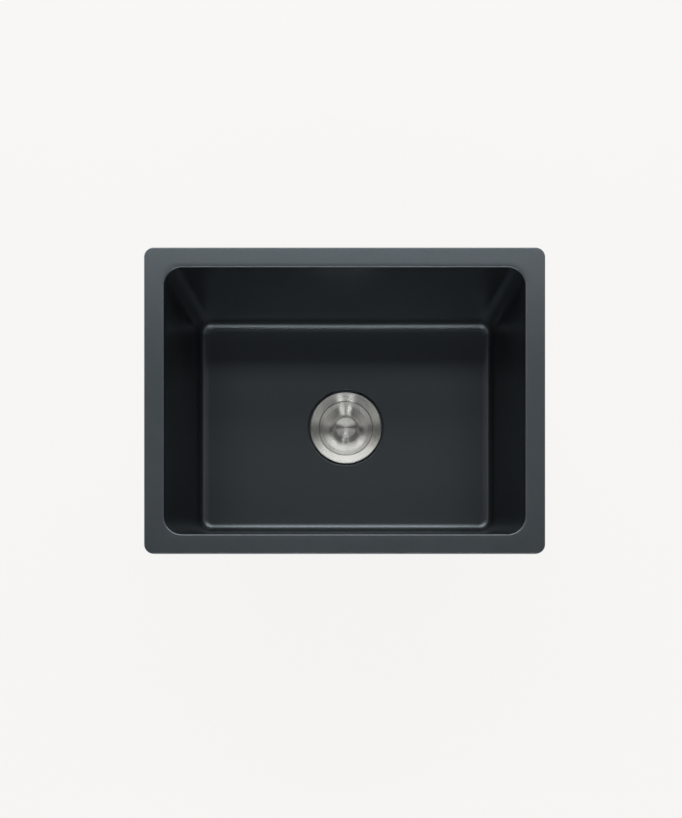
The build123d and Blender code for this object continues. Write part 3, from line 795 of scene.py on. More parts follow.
def stone(name, finishes):
    """Charcoal composite: fine mottle, small pale flecks, a satin face, and painted light: a paler rim
    top.
    """
    material, graph, shader = new_material(name, finishes.stone_dark, 0.0, 0.35)
    shader.inputs["Specular IOR Level"].default_value = 1.0
    shader.inputs["Specular Tint"].default_value = (0.80, 0.92, 1.0, 1)
    coords = object_coords(graph)
    grain = noise(graph, coords, waves=850, detail=3.0, rough=0.65)
    cloud = noise(graph, coords, waves=45, detail=2.0, rough=0.5)
    cloud_part = graph.math("MULTIPLY", graph.math("SUBTRACT", cloud, 0.5), 0.25)
    light_part = spread(graph, graph.math("ADD", grain, cloud_part), span=(0.38, 0.62))
    bowl = mixed(graph, light_part, finishes.stone_dark, finishes.stone_light)
    # Painted light: the rim's top takes a paler mix of the same grain, standing in for the light that
    # falls on it
    rim = mixed(graph, light_part, finishes.rim_painted_light_dark, finishes.rim_painted_light_pale)
    height = graph.add("ShaderNodeSeparateXYZ", {"Vector": coords}).outputs["Z"]
    rim_painted_light = spread(graph, height, span=(BOWL_HIGH.z - PAINTED_LIGHT_LOW, BOWL_HIGH.z - PAINTED_LIGHT_HIGH))
    body = mixed(graph, rim_painted_light, bowl, rim)

    # One cell in ten has a fleck in its middle
    cells = graph.add("ShaderNodeTexVoronoi", {"Vector": coords, "Scale": 900.0})
    speck = graph.math("LESS_THAN", cells.outputs["Distance"], 0.22)
    chosen = graph.add("ShaderNodeSeparateColor", {"Color": cells.outputs["Color"]}).outputs[0]
    rare = graph.math("GREATER_THAN", chosen, 0.90)
    fleck = graph.math("MULTIPLY", graph.math("MULTIPLY", speck, rare), 0.4)
    graph.feed(shader.inputs["Base Color"], mixed(graph, fleck, body, finishes.stone_fleck))
    graph.feed(shader.inputs["Roughness"], spread(graph, grain, span=(0.3, 0.7), to=(0.32, 0.38)))
    relief(graph, shader, noise(graph, coords, waves=1500, rough=0.6), distance=0.03 * MM, strength=0.5)
    return material


def turned_steel(name, finishes):
    """Stainless steel turned on a lathe: lines run round the axis and stretch the highlights."""
    material, graph, shader = new_material(name, finishes.steel, 1.0, 0.30)
    shader.inputs["Anisotropic"].default_value = 1.0
    shader.inputs["Anisotropic Rotation"].default_value = 0.25
    parts = graph.add("ShaderNodeSeparateXYZ", {"Vector": object_coords(graph)}).outputs
    round_axis = graph.vector(X=graph.math("MULTIPLY", parts["Y"], -1.0), Y=parts["X"])
    tangent = graph.add(
        "ShaderNodeVectorTransform", {"Vector": round_axis},
        vector_type="VECTOR", convert_from="OBJECT", convert_to="WORLD",
    )
    graph.feed(shader.inputs["Tangent"], tangent.outputs[0])
    flat = graph.vector(X=parts["X"], Y=parts["Y"])
    radius = graph.add("ShaderNodeVectorMath", {0: flat}, operation="LENGTH").outputs["Value"]
    around = graph.math("MULTIPLY", graph.math("ARCTAN2", parts["Y"], parts["X"]), LINE_STRETCH)
    rings = graph.vector(X=radius, Y=around, Z=parts["Z"])
    lines = noise(graph, rings, waves=2600, rough=0.7)
    graph.feed(shader.inputs["Roughness"], spread(graph, lines, span=(0.3, 0.7), to=(0.26, 0.34)))
    tone = spread(graph, lines, span=(0.25, 0.75))
    tint = mixed(graph, tone, shaded(finishes.steel, 0.86), finishes.steel)
    graph.feed(shader.inputs["Base Color"], tint)
    relief(graph, shader, lines, distance=0.05 * MM, strength=0.8)
    return material


def satin_metal(name, base, roughness, waves):
    """Plated or machined metal with a faint mottle and fine scratches."""
    material, graph, shader = new_material(name, base, 1.0, roughness)
    coords = object_coords(graph)
    cloud = noise(graph, coords, waves, detail=3.0, rough=0.6)
    fine = noise(graph, coords, waves * 9, rough=0.6)
    tone = spread(graph, cloud, span=(0.3, 0.7))
    graph.feed(shader.inputs["Base Color"], mixed(graph, tone, shaded(base, 0.82), base))
    rough = spread(graph, fine, span=(0.3, 0.7), to=(roughness - 0.06, roughness + 0.08))
    graph.feed(shader.inputs["Roughness"], rough)
    relief(graph, shader, fine, distance=0.01 * MM, strength=0.4)
    return material


def soft_plastic(name, base, roughness, waves, depth):
    """Moulded plastic or rubber with a fine grain."""
    material, graph, shader = new_material(name, base, 0.0, roughness)
    coords = object_coords(graph)
    grain = noise(graph, coords, waves, rough=0.6)
    wear = noise(graph, coords, waves / 25)
    tone = spread(graph, wear, span=(0.3, 0.7))
    graph.feed(shader.inputs["Base Color"], mixed(graph, tone, base, shaded(base, 1.25)))
    rough = spread(graph, grain, span=(0.3, 0.7), to=(roughness - 0.05, roughness + 0.07))
    graph.feed(shader.inputs["Roughness"], rough)
    relief(graph, shader, grain, depth, strength=0.5)
    return material


def finish(name):
    """One of the sink's materials, made when it is first asked for."""
    if name in bpy.data.materials:
        return bpy.data.materials[name]
    finishes = bpy.context.scene.sink_finishes
    makers = {
        STONE: lambda: stone(name, finishes),
        STEEL: lambda: turned_steel(name, finishes),
        ZINC: lambda: satin_metal(name, finishes.zinc, roughness=0.34, waves=160),
        BRASS: lambda: satin_metal(name, finishes.brass, roughness=0.28, waves=220),
        RUBBER: lambda: soft_plastic(name, finishes.rubber, 0.62, waves=1400, depth=0.03 * MM),
        PLASTIC: lambda: soft_plastic(name, finishes.plastic, 0.38, waves=1900, depth=0.02 * MM),
        WHITE: lambda: soft_plastic(name, finishes.slip, 0.40, waves=1700, depth=0.02 * MM),
    }
    return makers[name]()


def plan_shares():
    """For each point round a rounded rectangle: shares of its straight halves and of its corner radius."""
    quarter = []
    for step in range(SIDE_STEPS):
        quarter.append((1.0, min(step / (SIDE_STEPS - STEP_GAP), SIDE_END), 1.0, 0.0))
    for step in range(CORNER_STEPS + 1):
        angle = QUARTER * step / CORNER_STEPS
        quarter.append((1.0, 1.0, cos(angle), sin(angle)))
    for step in range(BACK_STEPS - 1, -1, -1):
        quarter.append((min(step / (BACK_STEPS - STEP_GAP), BACK_END), 1.0, 0.0, 1.0))
    quarter = np.array(quarter)
    left = quarter[::-1][1:] * (-1, 1, -1, 1)
    front = quarter[1:] * (-1, -1, -1, -1)
    right = quarter[::-1][1:-1] * (1, -1, 1, -1)
    return np.concatenate([quarter, left, front, right])


PLAN = plan_shares()


def plan_ring(half_x, half_y, corner, height):
    """Points round a rounded rectangle. Each size is a number or an array with one for each point."""
    x = (half_x - corner) * PLAN[:, 0] + corner * PLAN[:, 2]
    y = (half_y - corner) * PLAN[:, 1] + corner * PLAN[:, 3]
    return np.stack([x, y, np.broadcast_to(height, x.shape)], axis=1)


def bowl_ring(sizes, height, offset):
    """Outline of the bowl at a height, moved outwards from the opening's outline by an offset."""
    depth = sizes.rim_top - height
    narrowing = (sizes.opening_corner - sizes.floor_corner) * depth / sizes.depth
    corner = sizes.opening_corner - narrowing + offset + depth * tan(sizes.draft)
    half_x = sizes.length / 2 - sizes.rim_width + offset
    half_y = sizes.width / 2 - sizes.rim_width + offset
    return plan_ring(half_x, half_y, corner, height)


def rim_ring(sizes, height, offset):
    """Outline of the rim, moved outwards by an offset."""
    corner = sizes.rim_corner + offset
    return plan_ring(sizes.length / 2 + offset, sizes.width / 2 + offset, corner, height)


def blended(first, second, steps, height=None):
    """Rings between two, both left out, at the heights that a function gives for them if there is one."""
    rings = []
    for step in range(1, steps):
        ring = first + (second - first) * step / steps
        if height:
            ring[:, 2] = height(ring)
        rings.append(ring)
    return rings


def edge_rings(sizes, height, offset, radius, angles):
    """Rings of a rounding on the bowl, about a centre at a height and an offset."""
    return [bowl_ring(sizes, height + radius * sin(angle), offset + radius * cos(angle))
            for angle in angles]


def bowl_shape(sizes):
    """The bowl as one closed skin: inside, rim, outside and drain seat."""
    floor_level = sizes.rim_top - sizes.depth
    seat_level = floor_level - sizes.recess_depth
    boss_level = BOWL_LOW.z
    shell_level = floor_level - sizes.floor
    rim_under = sizes.rim_top - sizes.rim_thickness
    lean = cos(sizes.draft)
    draft = np.degrees(sizes.draft)

    def floor_height(ring):
        return floor_level + (np.hypot(ring[:, 0], ring[:, 1]) - sizes.hole_radius) * tan(sizes.floor_fall)

    # Fillet between floor and walls, which rises with the floor
    centre_height = floor_level + sizes.floor_fillet
    centre = wall_offset(sizes, centre_height) - sizes.floor_fillet / lean
    foot = bowl_ring(sizes, floor_level, centre)
    rise = floor_height(foot) - floor_level
    fillet = []
    for angle in arc(-90, -draft, FILLET_STEPS):
        height = centre_height + sizes.floor_fillet * sin(angle) + rise
        offset = centre + sizes.floor_fillet * cos(angle) + rise * tan(sizes.draft)
        fillet.append(bowl_ring(sizes, height, offset))

    # Round the drain, each point lies in the direction of a point of the floor's edge
    directions = foot[:, :2] / np.linalg.norm(foot[:, :2], axis=1)[:, None]

    def circle(radius, height):
        return np.column_stack([directions * radius, np.full(len(directions), height)])

    # Hole, stepped seat with its rounded edge, and the floor
    rings = [
        circle(sizes.hole_radius, seat_level - SKIN_HOLD),
        circle(sizes.hole_radius + 0.25 * MM, seat_level),
        circle(sizes.recess_radius - SKIN_HOLD, seat_level),
        circle(sizes.recess_radius, seat_level + 0.2 * MM),
    ]
    round_radius = sizes.recess_radius + sizes.recess_round
    for angle in arc(180, 90, RIM_STEPS):
        ring = circle(round_radius + sizes.recess_round * cos(angle), 0)
        ring[:, 2] = floor_height(ring) - sizes.recess_round * (1 - sin(angle))
        rings.append(ring)
    near = circle(round_radius + SKIN_HOLD, 0)
    near[:, 2] = floor_height(near)
    rings.append(near)
    rings += blended(near, fillet[0], FLOOR_RINGS, floor_height)
    rings += fillet

    # Wall and the rounded edge of the opening
    top_height = sizes.rim_top - sizes.opening_round
    top = wall_offset(sizes, top_height) + sizes.opening_round / lean
    edge = edge_rings(sizes, top_height, top, sizes.opening_round, arc(180 - draft, 90, EDGE_STEPS))
    rings += blended(fillet[-1], edge[0], WALL_RINGS)
    rings += edge

    # Rim: flat top, rounded edge, underside and its root at the wall
    flat = rim_ring(sizes, sizes.rim_top, -sizes.rim_round - SKIN_HOLD)
    rings += blended(edge[-1], flat, RIM_RINGS)
    rings.append(flat)
    for angle in arc(90, 0, RIM_STEPS):
        height = sizes.rim_top - sizes.rim_round * (1 - sin(angle))
        rings.append(rim_ring(sizes, height, -sizes.rim_round * (1 - cos(angle))))
    for angle in arc(0, -90, LOW_STEPS):
        height = rim_under + sizes.rim_lower_round * (1 + sin(angle))
        rings.append(rim_ring(sizes, height, -sizes.rim_lower_round * (1 - cos(angle))))
    root_height = rim_under - sizes.root_fillet
    root = wall_offset(sizes, root_height, sizes.wall) + sizes.root_fillet / lean
    joint = edge_rings(sizes, root_height, root, sizes.root_fillet, arc(90, 180 - draft, EDGE_STEPS))
    rings += blended(rings[-1], joint[0], UNDER_RINGS)
    rings += joint

    # Outside wall, rounded below, and the underside with its thick ring
    outer_fillet = sizes.floor_fillet + sizes.wall
    low_height = shell_level + outer_fillet
    low = wall_offset(sizes, low_height, sizes.wall) - outer_fillet / lean
    bottom = edge_rings(sizes, low_height, low, outer_fillet, arc(-draft, -90, FILLET_STEPS))
    rings += blended(joint[-1], bottom[0], WALL_RINGS)
    rings += bottom
    boss_top = circle(sizes.drain_boss_radius, shell_level)
    rings += blended(bottom[-1], boss_top, BASE_RINGS)
    rings.append(boss_top)
    boss_round = sizes.drain_boss_round
    for angle in arc(0, -90, LOW_STEPS):
        radius = sizes.drain_boss_radius - boss_round * (1 - cos(angle))
        rings.append(circle(radius, boss_level + boss_round * (1 + sin(angle))))
    rings.append(circle(sizes.hole_radius + SKIN_HOLD, boss_level))
    rings.append(circle(sizes.hole_radius, boss_level + SKIN_HOLD))

    verts = [tuple(vert) for vert in np.concatenate(rings)]
    return verts, ring_faces(numbered(len(rings), len(PLAN)), closed=True)


def clip_places(sizes):
    """Name, clip axis, turn of the stowed arm about Z and side of the wall for each clip."""
    x = sizes.length / 2 - sizes.clip_inset
    y = sizes.width / 2 - sizes.clip_inset
    side = sizes.clip_spacing / 2
    return (
        ("front_left", (-side, -y), 0.0, -1),
        ("front_right", (side, -y), pi, 1),
        ("right", (x, 0.0), QUARTER, -1),
        ("back_right", (side, y), pi, -1),
        ("back_left", (-side, y), 0.0, 1),
        ("left", (-x, 0.0), QUARTER, 1),
    )


def boss_outline(sizes):
    """Distance from the clip's axis to a boss's edge for each direction, the outside at +Y."""
    half = sizes.clip_boss_width / 2
    edge = rounded((
        (-half, -sizes.clip_boss_root, 0.3 * MM),
        (half, -sizes.clip_boss_root, 0.3 * MM),
        (half, sizes.clip_boss_cover, sizes.clip_boss_round),
        (-half, sizes.clip_boss_cover, sizes.clip_boss_round),
    ))
    reach = []
    for step in range(BOSS_STEPS):
        angle = 2 * pi * (step + 0.5) / BOSS_STEPS
        ray = Vector((cos(angle), sin(angle)))
        best = 0
        for start, end in zip(edge, edge[1:] + edge[:1]):
            side = end - start
            cross = ray.x * side.y - ray.y * side.x
            if abs(cross) > PARALLEL:
                along = (start.x * side.y - start.y * side.x) / cross
                share_along = (start.x * ray.y - start.y * ray.x) / cross
                if along > 0 and -END_SLACK <= share_along <= 1 + END_SLACK:
                    best = max(best, along)
        reach.append((ray, best))
    return reach


def boss_shape(sizes, base, top, place, heading, side):
    """A clip boss with its pocket and clear hole, rooted in wall and rim."""
    outline = boss_outline(sizes)
    count = len(outline)
    along = Vector((cos(heading), sin(heading)))
    across = Vector((-sin(heading), cos(heading))) * side
    hole_end = base + sizes.screw_hole_depth
    pocket_end = base + sizes.bush_length
    drill_point = 1.0 * MM
    mouth = 0.2 * MM
    bevel = 0.6 * MM
    bevel_near = 0.18 * MM

    # Each level has an inset from the boss's edge or a radius, and a height
    levels = (
        (None, 0.0, hole_end + drill_point),
        (None, sizes.screw_hole, hole_end),
        (None, sizes.screw_hole, pocket_end),
        (None, sizes.bush_hole, pocket_end),
        (None, sizes.bush_hole, base + mouth),
        (None, sizes.bush_hole + mouth, base),
        (-bevel, None, base),
        (-bevel_near, None, base + bevel_near),
        (0.0, None, base + bevel),
        (0.0, None, top),
        (None, 0.0, top),
    )
    verts = []
    rings = []
    for inset, radius, height in levels:
        if radius is not None and radius < TINY:
            rings.append([len(verts)] * count)
            verts.append((*place, height))
            continue
        rings.append(list(range(len(verts), len(verts) + count)))
        for ray, reach in outline:
            spot = ray * (radius if radius is not None else reach + inset)
            flat = along * spot.x + across * spot.y
            verts.append((place[0] + flat.x, place[1] + flat.y, height))
    return verts, ring_faces(rings)


class SINK_OT_bowl(Operator):
    """Builds the granite bowl with its rim, drain seat and clip bosses"""

    bl_idname = "sink.bowl"
    bl_label = "Granite bowl"

    def execute(self, context):
        sizes = context.scene.sink_bowl
        stone_face = finish(STONE)
        bowl = new_piece("granite_bowl", bowl_shape(sizes), stone_face, BOWL_SHARP)
        rim_under = sizes.rim_top - sizes.rim_thickness
        base = rim_under - sizes.clip_boss_depth
        sunk = 2 * MM
        shapes = [boss_shape(sizes, base, rim_under + sunk, place, heading, side)
                  for _, place, heading, side in clip_places(sizes)]
        combine(bowl, new_piece("bosses", joined(*shapes), stone_face), "UNION")
        tidy_mesh(bowl.data, CAST_SHARP)
        settle(bowl, "sink", "granite", "sink_bowl")
        return {"FINISHED"}


class SINK_OT_strainer(Operator):
    """Builds the strainer body with its flange, cup and threads"""

    bl_idname = "sink.strainer"
    bl_label = "Strainer body"

    def execute(self, context):
        waste = context.scene.sink_waste
        low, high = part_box("strainer_body")
        top = high.z
        bottom = low.z
        throat_top = top - waste.flange_fall
        sheet = waste.sheet
        lip = waste.flange_radius - waste.flange_lip
        slope = waste.flange_fall / (lip - waste.throat_radius)
        ledge = top - waste.ledge_depth
        cup_floor = top - waste.cup_depth
        edge_base = top - waste.flange_height + waste.flange_gap
        seat_top = top - waste.throat_depth
        seat_end = seat_top - waste.seat_height
        core = waste.cup_radius + sheet
        spigot_core = waste.spigot_radius - waste.thread_depth
        fine = 0.25 * MM
        body = turned_piece("strainer_shell", (
            (waste.flange_radius, edge_base, fine),
            (waste.flange_radius, top, 0.8 * MM),
            (lip, top, 0.6 * MM),
            (waste.throat_radius, throat_top, 1.5 * MM),
            (waste.throat_radius, seat_top, fine),
            (waste.seat_radius, seat_end, fine),
            (waste.seat_radius, ledge, 0.5 * MM),
            (waste.cup_radius, ledge, 0.6 * MM),
            (waste.cup_radius, cup_floor, 6 * MM),
            (waste.outlet_radius, cup_floor - waste.outlet_fall, 0.8 * MM),
            (waste.outlet_radius, bottom, fine),
            (spigot_core, bottom, 0.4 * MM),
            (spigot_core, cup_floor - waste.outlet_fall - sheet, 0.8 * MM),
            (core, cup_floor - sheet, 6.5 * MM),
            (core, ledge - sheet, fine),
            (waste.seat_radius + sheet, ledge - sheet, 0.5 * MM),
            (waste.seat_radius + sheet, seat_end, fine),
            (waste.throat_radius + sheet, seat_top, fine),
            (waste.throat_radius + sheet, throat_top - sheet + slope * sheet, 0.6 * MM),
            (waste.flange_radius - sheet, top - sheet, fine),
            (waste.flange_radius - sheet, edge_base, fine),
        ), ROUND_LARGE, STEEL)
        spigot_plain = 0.6 * MM
        threads = (
            (core, ledge - 2 * sheet - waste.thread_length, waste.thread_length),
            (spigot_core, bottom + spigot_plain, waste.spigot_thread),
        )
        for radius, base, length in threads:
            run_tree(body, thread_pattern(), {
                "Radius": radius, "Depth": waste.thread_depth, "Pitch": waste.thread_pitch,
                "Length": length, "Bottom": base, "Points per turn": TURN_LARGE,
            })
        settle(body, "sink", "stainless", "strainer_body")
        return {"FINISHED"}


def ring_piece(name, node, slot, material, inner, edge, slope=0.0):
    """A flat ring with its place and outer size from its CAD node. Its top may fall inwards."""
    low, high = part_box(node)
    inner_top = high.z - slope * (high.x - inner)
    piece = turned_piece(name, (
        (inner, low.z, edge),
        (high.x, low.z, edge),
        (high.x, high.z, edge),
        (inner, inner_top, edge),
    ), ROUND_RING, material)
    settle(piece, "sink", slot, node)


class SINK_OT_rings(Operator):
    """Builds the seals and the slip ring that clamp the strainer"""

    bl_idname = "sink.rings"
    bl_label = "Seals and slip ring"

    def execute(self, context):
        nuts = context.scene.sink_nuts
        waste = context.scene.sink_waste
        slope = waste.flange_fall / (waste.flange_radius - waste.flange_lip - waste.throat_radius)
        ring_piece("bowl_seal", "under_gasket", "rubber", RUBBER, nuts.seal_inner, 0.5 * MM)
        ring_piece("slip_ring", "friction_washer", "slip_washer", WHITE, nuts.seal_inner, 0.25 * MM)
        ring_piece("tail_seal", "tailpiece_washer", "rubber", RUBBER, nuts.tail_seal_inner, 0.3 * MM)
        bore = nuts.flange_seal_inner
        ring_piece("flange_seal", "flange_gasket", "rubber", RUBBER, bore, 0.15 * MM, slope)
        return {"FINISHED"}


class SINK_OT_ring_nut(Operator):
    """Builds the lugged nut that holds the strainer in the bowl"""

    bl_idname = "sink.ring_nut"
    bl_label = "Ring nut"

    def execute(self, context):
        nuts = context.scene.sink_nuts
        low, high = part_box("locknut")
        edge = nuts.edge
        flange_base = high.z - nuts.nut_flange
        body = turned_piece("ring_nut", (
            (nuts.nut_bore, low.z, 0.6 * MM),
            (nuts.nut_radius, low.z, edge),
            (nuts.nut_radius, flange_base, edge),
            (high.x, flange_base, 0.5 * MM),
            (high.x, high.z, 0.5 * MM),
            (nuts.nut_bore, high.z, 0.6 * MM),
        ), ROUND_MIDDLE, PLASTIC)

        # The lugs are rooted in the nut's body and its flange
        half = nuts.nut_lug_width / 2
        start = nuts.nut_radius - 1.5 * MM
        end = high.x - 0.3 * MM
        lug_top = flange_base + 0.5 * MM
        lug_round = 1.5 * MM
        plan = rounded((
            (start, -half, 0),
            (end, -half, lug_round),
            (end, half, lug_round),
            (start, half, 0),
        ))
        lug = new_piece("lug", prism(plan, low.z, lug_top, edge), finish(PLASTIC))
        run_tree(lug, ring_pattern(), {"Count": nuts.nut_lugs, "Rows": 1})
        merged(body, lug)
        plain = 1.5 * MM
        run_tree(body, thread_pattern(), {
            "Radius": nuts.nut_bore, "Depth": 0.25 * MM, "Pitch": 2 * MM,
            "Length": high.z - low.z - 2 * plain, "Bottom": low.z + plain, "Points per turn": TURN_LARGE,
        })
        settle(body, "sink", "black_plastic", "locknut")
        return {"FINISHED"}


class SINK_OT_tail(Operator):
    """Builds the tail pipe and the ribbed nut that holds it"""

    bl_idname = "sink.tail"
    bl_label = "Tail pipe and nut"

    def execute(self, context):
        nuts = context.scene.sink_nuts
        low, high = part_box("tailpiece")
        bore = nuts.tail_radius - nuts.tail_wall
        neck = nuts.tail_radius - nuts.tail_neck
        flange_base = high.z - nuts.tail_flange
        neck_base = flange_base - nuts.tail_neck_length
        pipe = turned_piece("tail_pipe", (
            (bore, low.z, 0.4 * MM),
            (nuts.tail_radius, low.z, 0.6 * MM),
            (nuts.tail_radius, neck_base, 0),
            (neck, neck_base, 0),
            (neck, flange_base, 0),
            (high.x, flange_base, 0.4 * MM),
            (high.x, high.z, 0.4 * MM),
            (bore, high.z, 0.3 * MM),
        ), ROUND_TAIL, PLASTIC)
        settle(pipe, "sink", "black_plastic", "tailpiece")

        low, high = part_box("coupling_nut")
        edge = nuts.edge
        lip_top = low.z + nuts.tail_nut_lip
        body = turned_piece("tail_nut", (
            (nuts.tail_nut_hole, low.z, 0.3 * MM),
            (nuts.tail_nut_radius, low.z, edge),
            (nuts.tail_nut_radius, high.z, edge),
            (nuts.tail_nut_bore, high.z, 0.3 * MM),
            (nuts.tail_nut_bore, lip_top, 0),
            (nuts.tail_nut_hole, lip_top, 0.2 * MM),
        ), ROUND_TAIL, PLASTIC)
        radius = nuts.grip_radius
        grip_low = low.z + edge
        grip_high = high.z - edge
        grip_round = 0.7 * MM
        rod = rounded((
            (0, grip_low, 0),
            (radius, grip_low, grip_round),
            (radius, grip_high, grip_round),
            (0, grip_high, 0),
        ), closed=False)
        shape = turned(rod, ROUND_GRIP, closed=False, centre=(nuts.tail_nut_radius, 0))
        grip = new_piece("grip", shape, finish(PLASTIC))
        run_tree(grip, ring_pattern(), {"Count": nuts.grips, "Rows": 1})
        merged(body, grip)
        tidy_mesh(body.data)
        settle(body, "sink", "black_plastic", "coupling_nut")
        return {"FINISHED"}


def pierced_tile(*loops):
    """A sheet with a hole, from four equal loops: edge and hole on one face, then on the other."""
    count = len(loops[0])
    verts = [point for loop in loops for point in loop]
    edge, hole, back_edge, back_hole = (row * count for row in range(len(loops)))
    faces = []
    for step in range(count):
        after = (step + 1) % count
        for first, second in ((edge, hole), (back_edge, back_hole), (hole, back_hole)):
            faces.append((first + step, first + after, second + after, second + step))
    return verts, faces


def tile_edge(across, up):
    """Points round a unit tile, counter-clockwise from its lower left corner."""
    points = [(-0.5 + step / across, -0.5) for step in range(across)]
    points += [(0.5, -0.5 + step / up) for step in range(up)]
    points += [(0.5 - step / across, 0.5) for step in range(across)]
    points += [(-0.5, 0.5 - step / up) for step in range(up)]
    return points


def floor_tile(sizes, ring, segments, base, floor):
    """The pierced tile of one ring of the basket's floor."""
    step = sizes.ring_step
    hole = sizes.hole_radius
    count = ring * sizes.ring_holes
    radius = sizes.rivet_radius + ring * step
    turn_step = 2 * pi / count
    edge = [((radius + v * step) * cos(u * turn_step), (radius + v * step) * sin(u * turn_step))
            for u, v in tile_edge(segments // count, TILE_STEPS)]
    angles = [atan2(y, x - radius) for x, y in edge]
    rim = [(radius + hole * cos(angle), hole * sin(angle)) for angle in angles]
    loops = [[(x, y, height) for x, y in loop] for height in (base, floor) for loop in (edge, rim)]
    return pierced_tile(*loops)


def wall_tile(sizes, middle, segments, outer, inner):
    """The pierced tile of the basket's wall, with its hole at one height."""
    hole = sizes.hole_radius
    turn_step = 2 * pi / sizes.wall_holes
    spots = tile_edge(segments // sizes.wall_holes, TILE_STEPS)
    angles = [atan2(v * sizes.row_step, u * turn_step * outer) for u, v in spots]
    loops = []
    for radius in (outer, inner):
        edge = []
        for u, v in spots:
            angle = u * turn_step
            edge.append((radius * cos(angle), radius * sin(angle), middle + v * sizes.row_step))
        rim = []
        for angle in angles:
            side = hole * cos(angle) / outer
            rim.append((radius * cos(side), radius * sin(side), middle + hole * sin(angle)))
        loops += [edge, rim]
    return pierced_tile(*loops)


def basket_stem(sizes, base, floor):
    """The rivet, foot, post and ball that lift the basket."""
    low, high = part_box("basket_post")
    ball = sizes.ball_radius
    ball_height = high.z - ball
    foot_top = floor + sizes.foot
    joint = np.degrees(np.arcsin(min(1.0, sizes.post_radius / ball)))
    sphere = [(ball * cos(angle), ball_height + ball * sin(angle), 0)
              for angle in arc(-90 + joint, 90, BALL_ARC)]
    sphere[0] = (*sphere[0][:2], 0.8 * MM)
    sphere[-1] = (0, high.z, 0)
    return turned_piece("basket_stem", (
        (0, low.z, 0),
        (sizes.rivet_head_radius, low.z, 0.5 * MM),
        (sizes.rivet_head_radius, base, 0.1 * MM),
        (sizes.rivet_radius, base, 0),
        (sizes.rivet_radius, floor, 0),
        (sizes.foot_radius, floor, 0.1 * MM),
        (sizes.foot_radius, foot_top, 0.6 * MM),
        (sizes.post_radius, foot_top, 1.2 * MM),
        *sphere,
    ), ROUND_SMALL, STEEL, closed=False)


class SINK_OT_basket(Operator):
    """Builds the perforated basket and the stem that lifts it"""

    bl_idname = "sink.basket"
    bl_label = "Basket"

    def execute(self, context):
        sizes = context.scene.sink_basket
        steel = finish(STEEL)
        low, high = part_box("basket_cup")
        segments = sizes.wall_holes * sizes.ring_holes
        outer = sizes.wall_radius
        inner = outer - sizes.sheet
        base = low.z
        floor = base + sizes.sheet
        ledge = high.z - sizes.sheet
        row_base = base + sizes.corner
        row_top = row_base + sizes.wall_rows * sizes.row_step
        centre_edge = sizes.rivet_radius + sizes.ring_step / 2
        floor_edge = centre_edge + sizes.rings * sizes.ring_step
        bend = outer - sizes.corner
        bore = sizes.rivet_radius + 0.05 * MM

        def corner_arc(radius):
            return [(bend + radius * cos(angle), row_base + radius * sin(angle))
                    for angle in arc(-90, 0, CORNER_ARC)]

        # Middle of the floor, the corner's two faces and the turned lip
        middle = [(centre_edge, base), (bore, base), (bore, floor), (centre_edge, floor)]
        under = [(floor_edge, base)] + corner_arc(sizes.corner)
        over = [(floor_edge, floor)] + corner_arc(sizes.corner - sizes.sheet)
        lip = rounded((
            (outer, row_top, 0),
            (outer, ledge, 0.3 * MM),
            (high.x, ledge, 0.3 * MM),
            (high.x, high.z, 0.3 * MM),
            (inner, high.z, 0.8 * MM),
            (inner, row_top, 0),
        ), closed=False)
        plain = [turned(outline, segments, closed=False) for outline in (middle, under, over, lip)]
        basket = new_piece("basket_sieve", joined(*plain), steel)

        # One pierced tile of the wall, set round in rows, and one for each ring of the floor
        shape = wall_tile(sizes, row_base + sizes.row_step / 2, segments, outer, inner)
        wall = new_piece("wall", shape, steel)
        run_tree(wall, ring_pattern(), {
            "Count": sizes.wall_holes, "Rows": sizes.wall_rows, "Row rise": sizes.row_step,
            "Row turn": pi / sizes.wall_holes,
        })
        rings = []
        for ring in range(1, sizes.rings + 1):
            tile = new_piece("tile", floor_tile(sizes, ring, segments, base, floor), steel)
            run_tree(tile, ring_pattern(), {"Count": ring * sizes.ring_holes, "Rows": 1})
            rings.append(tile)
        merged(basket, wall, *rings)
        tidy_mesh(basket.data)
        settle(basket, "basket", "stainless", "basket_cup")
        settle(basket_stem(sizes, base, floor), "basket", "stainless", "basket_post")
        return {"FINISHED"}


def slot_shape(reach, width, base, depth, past):
    """A block that cuts a screwdriver's slot into the underside of a head."""
    return block((-reach, -width / 2, base - past), (reach, width / 2, base + depth))


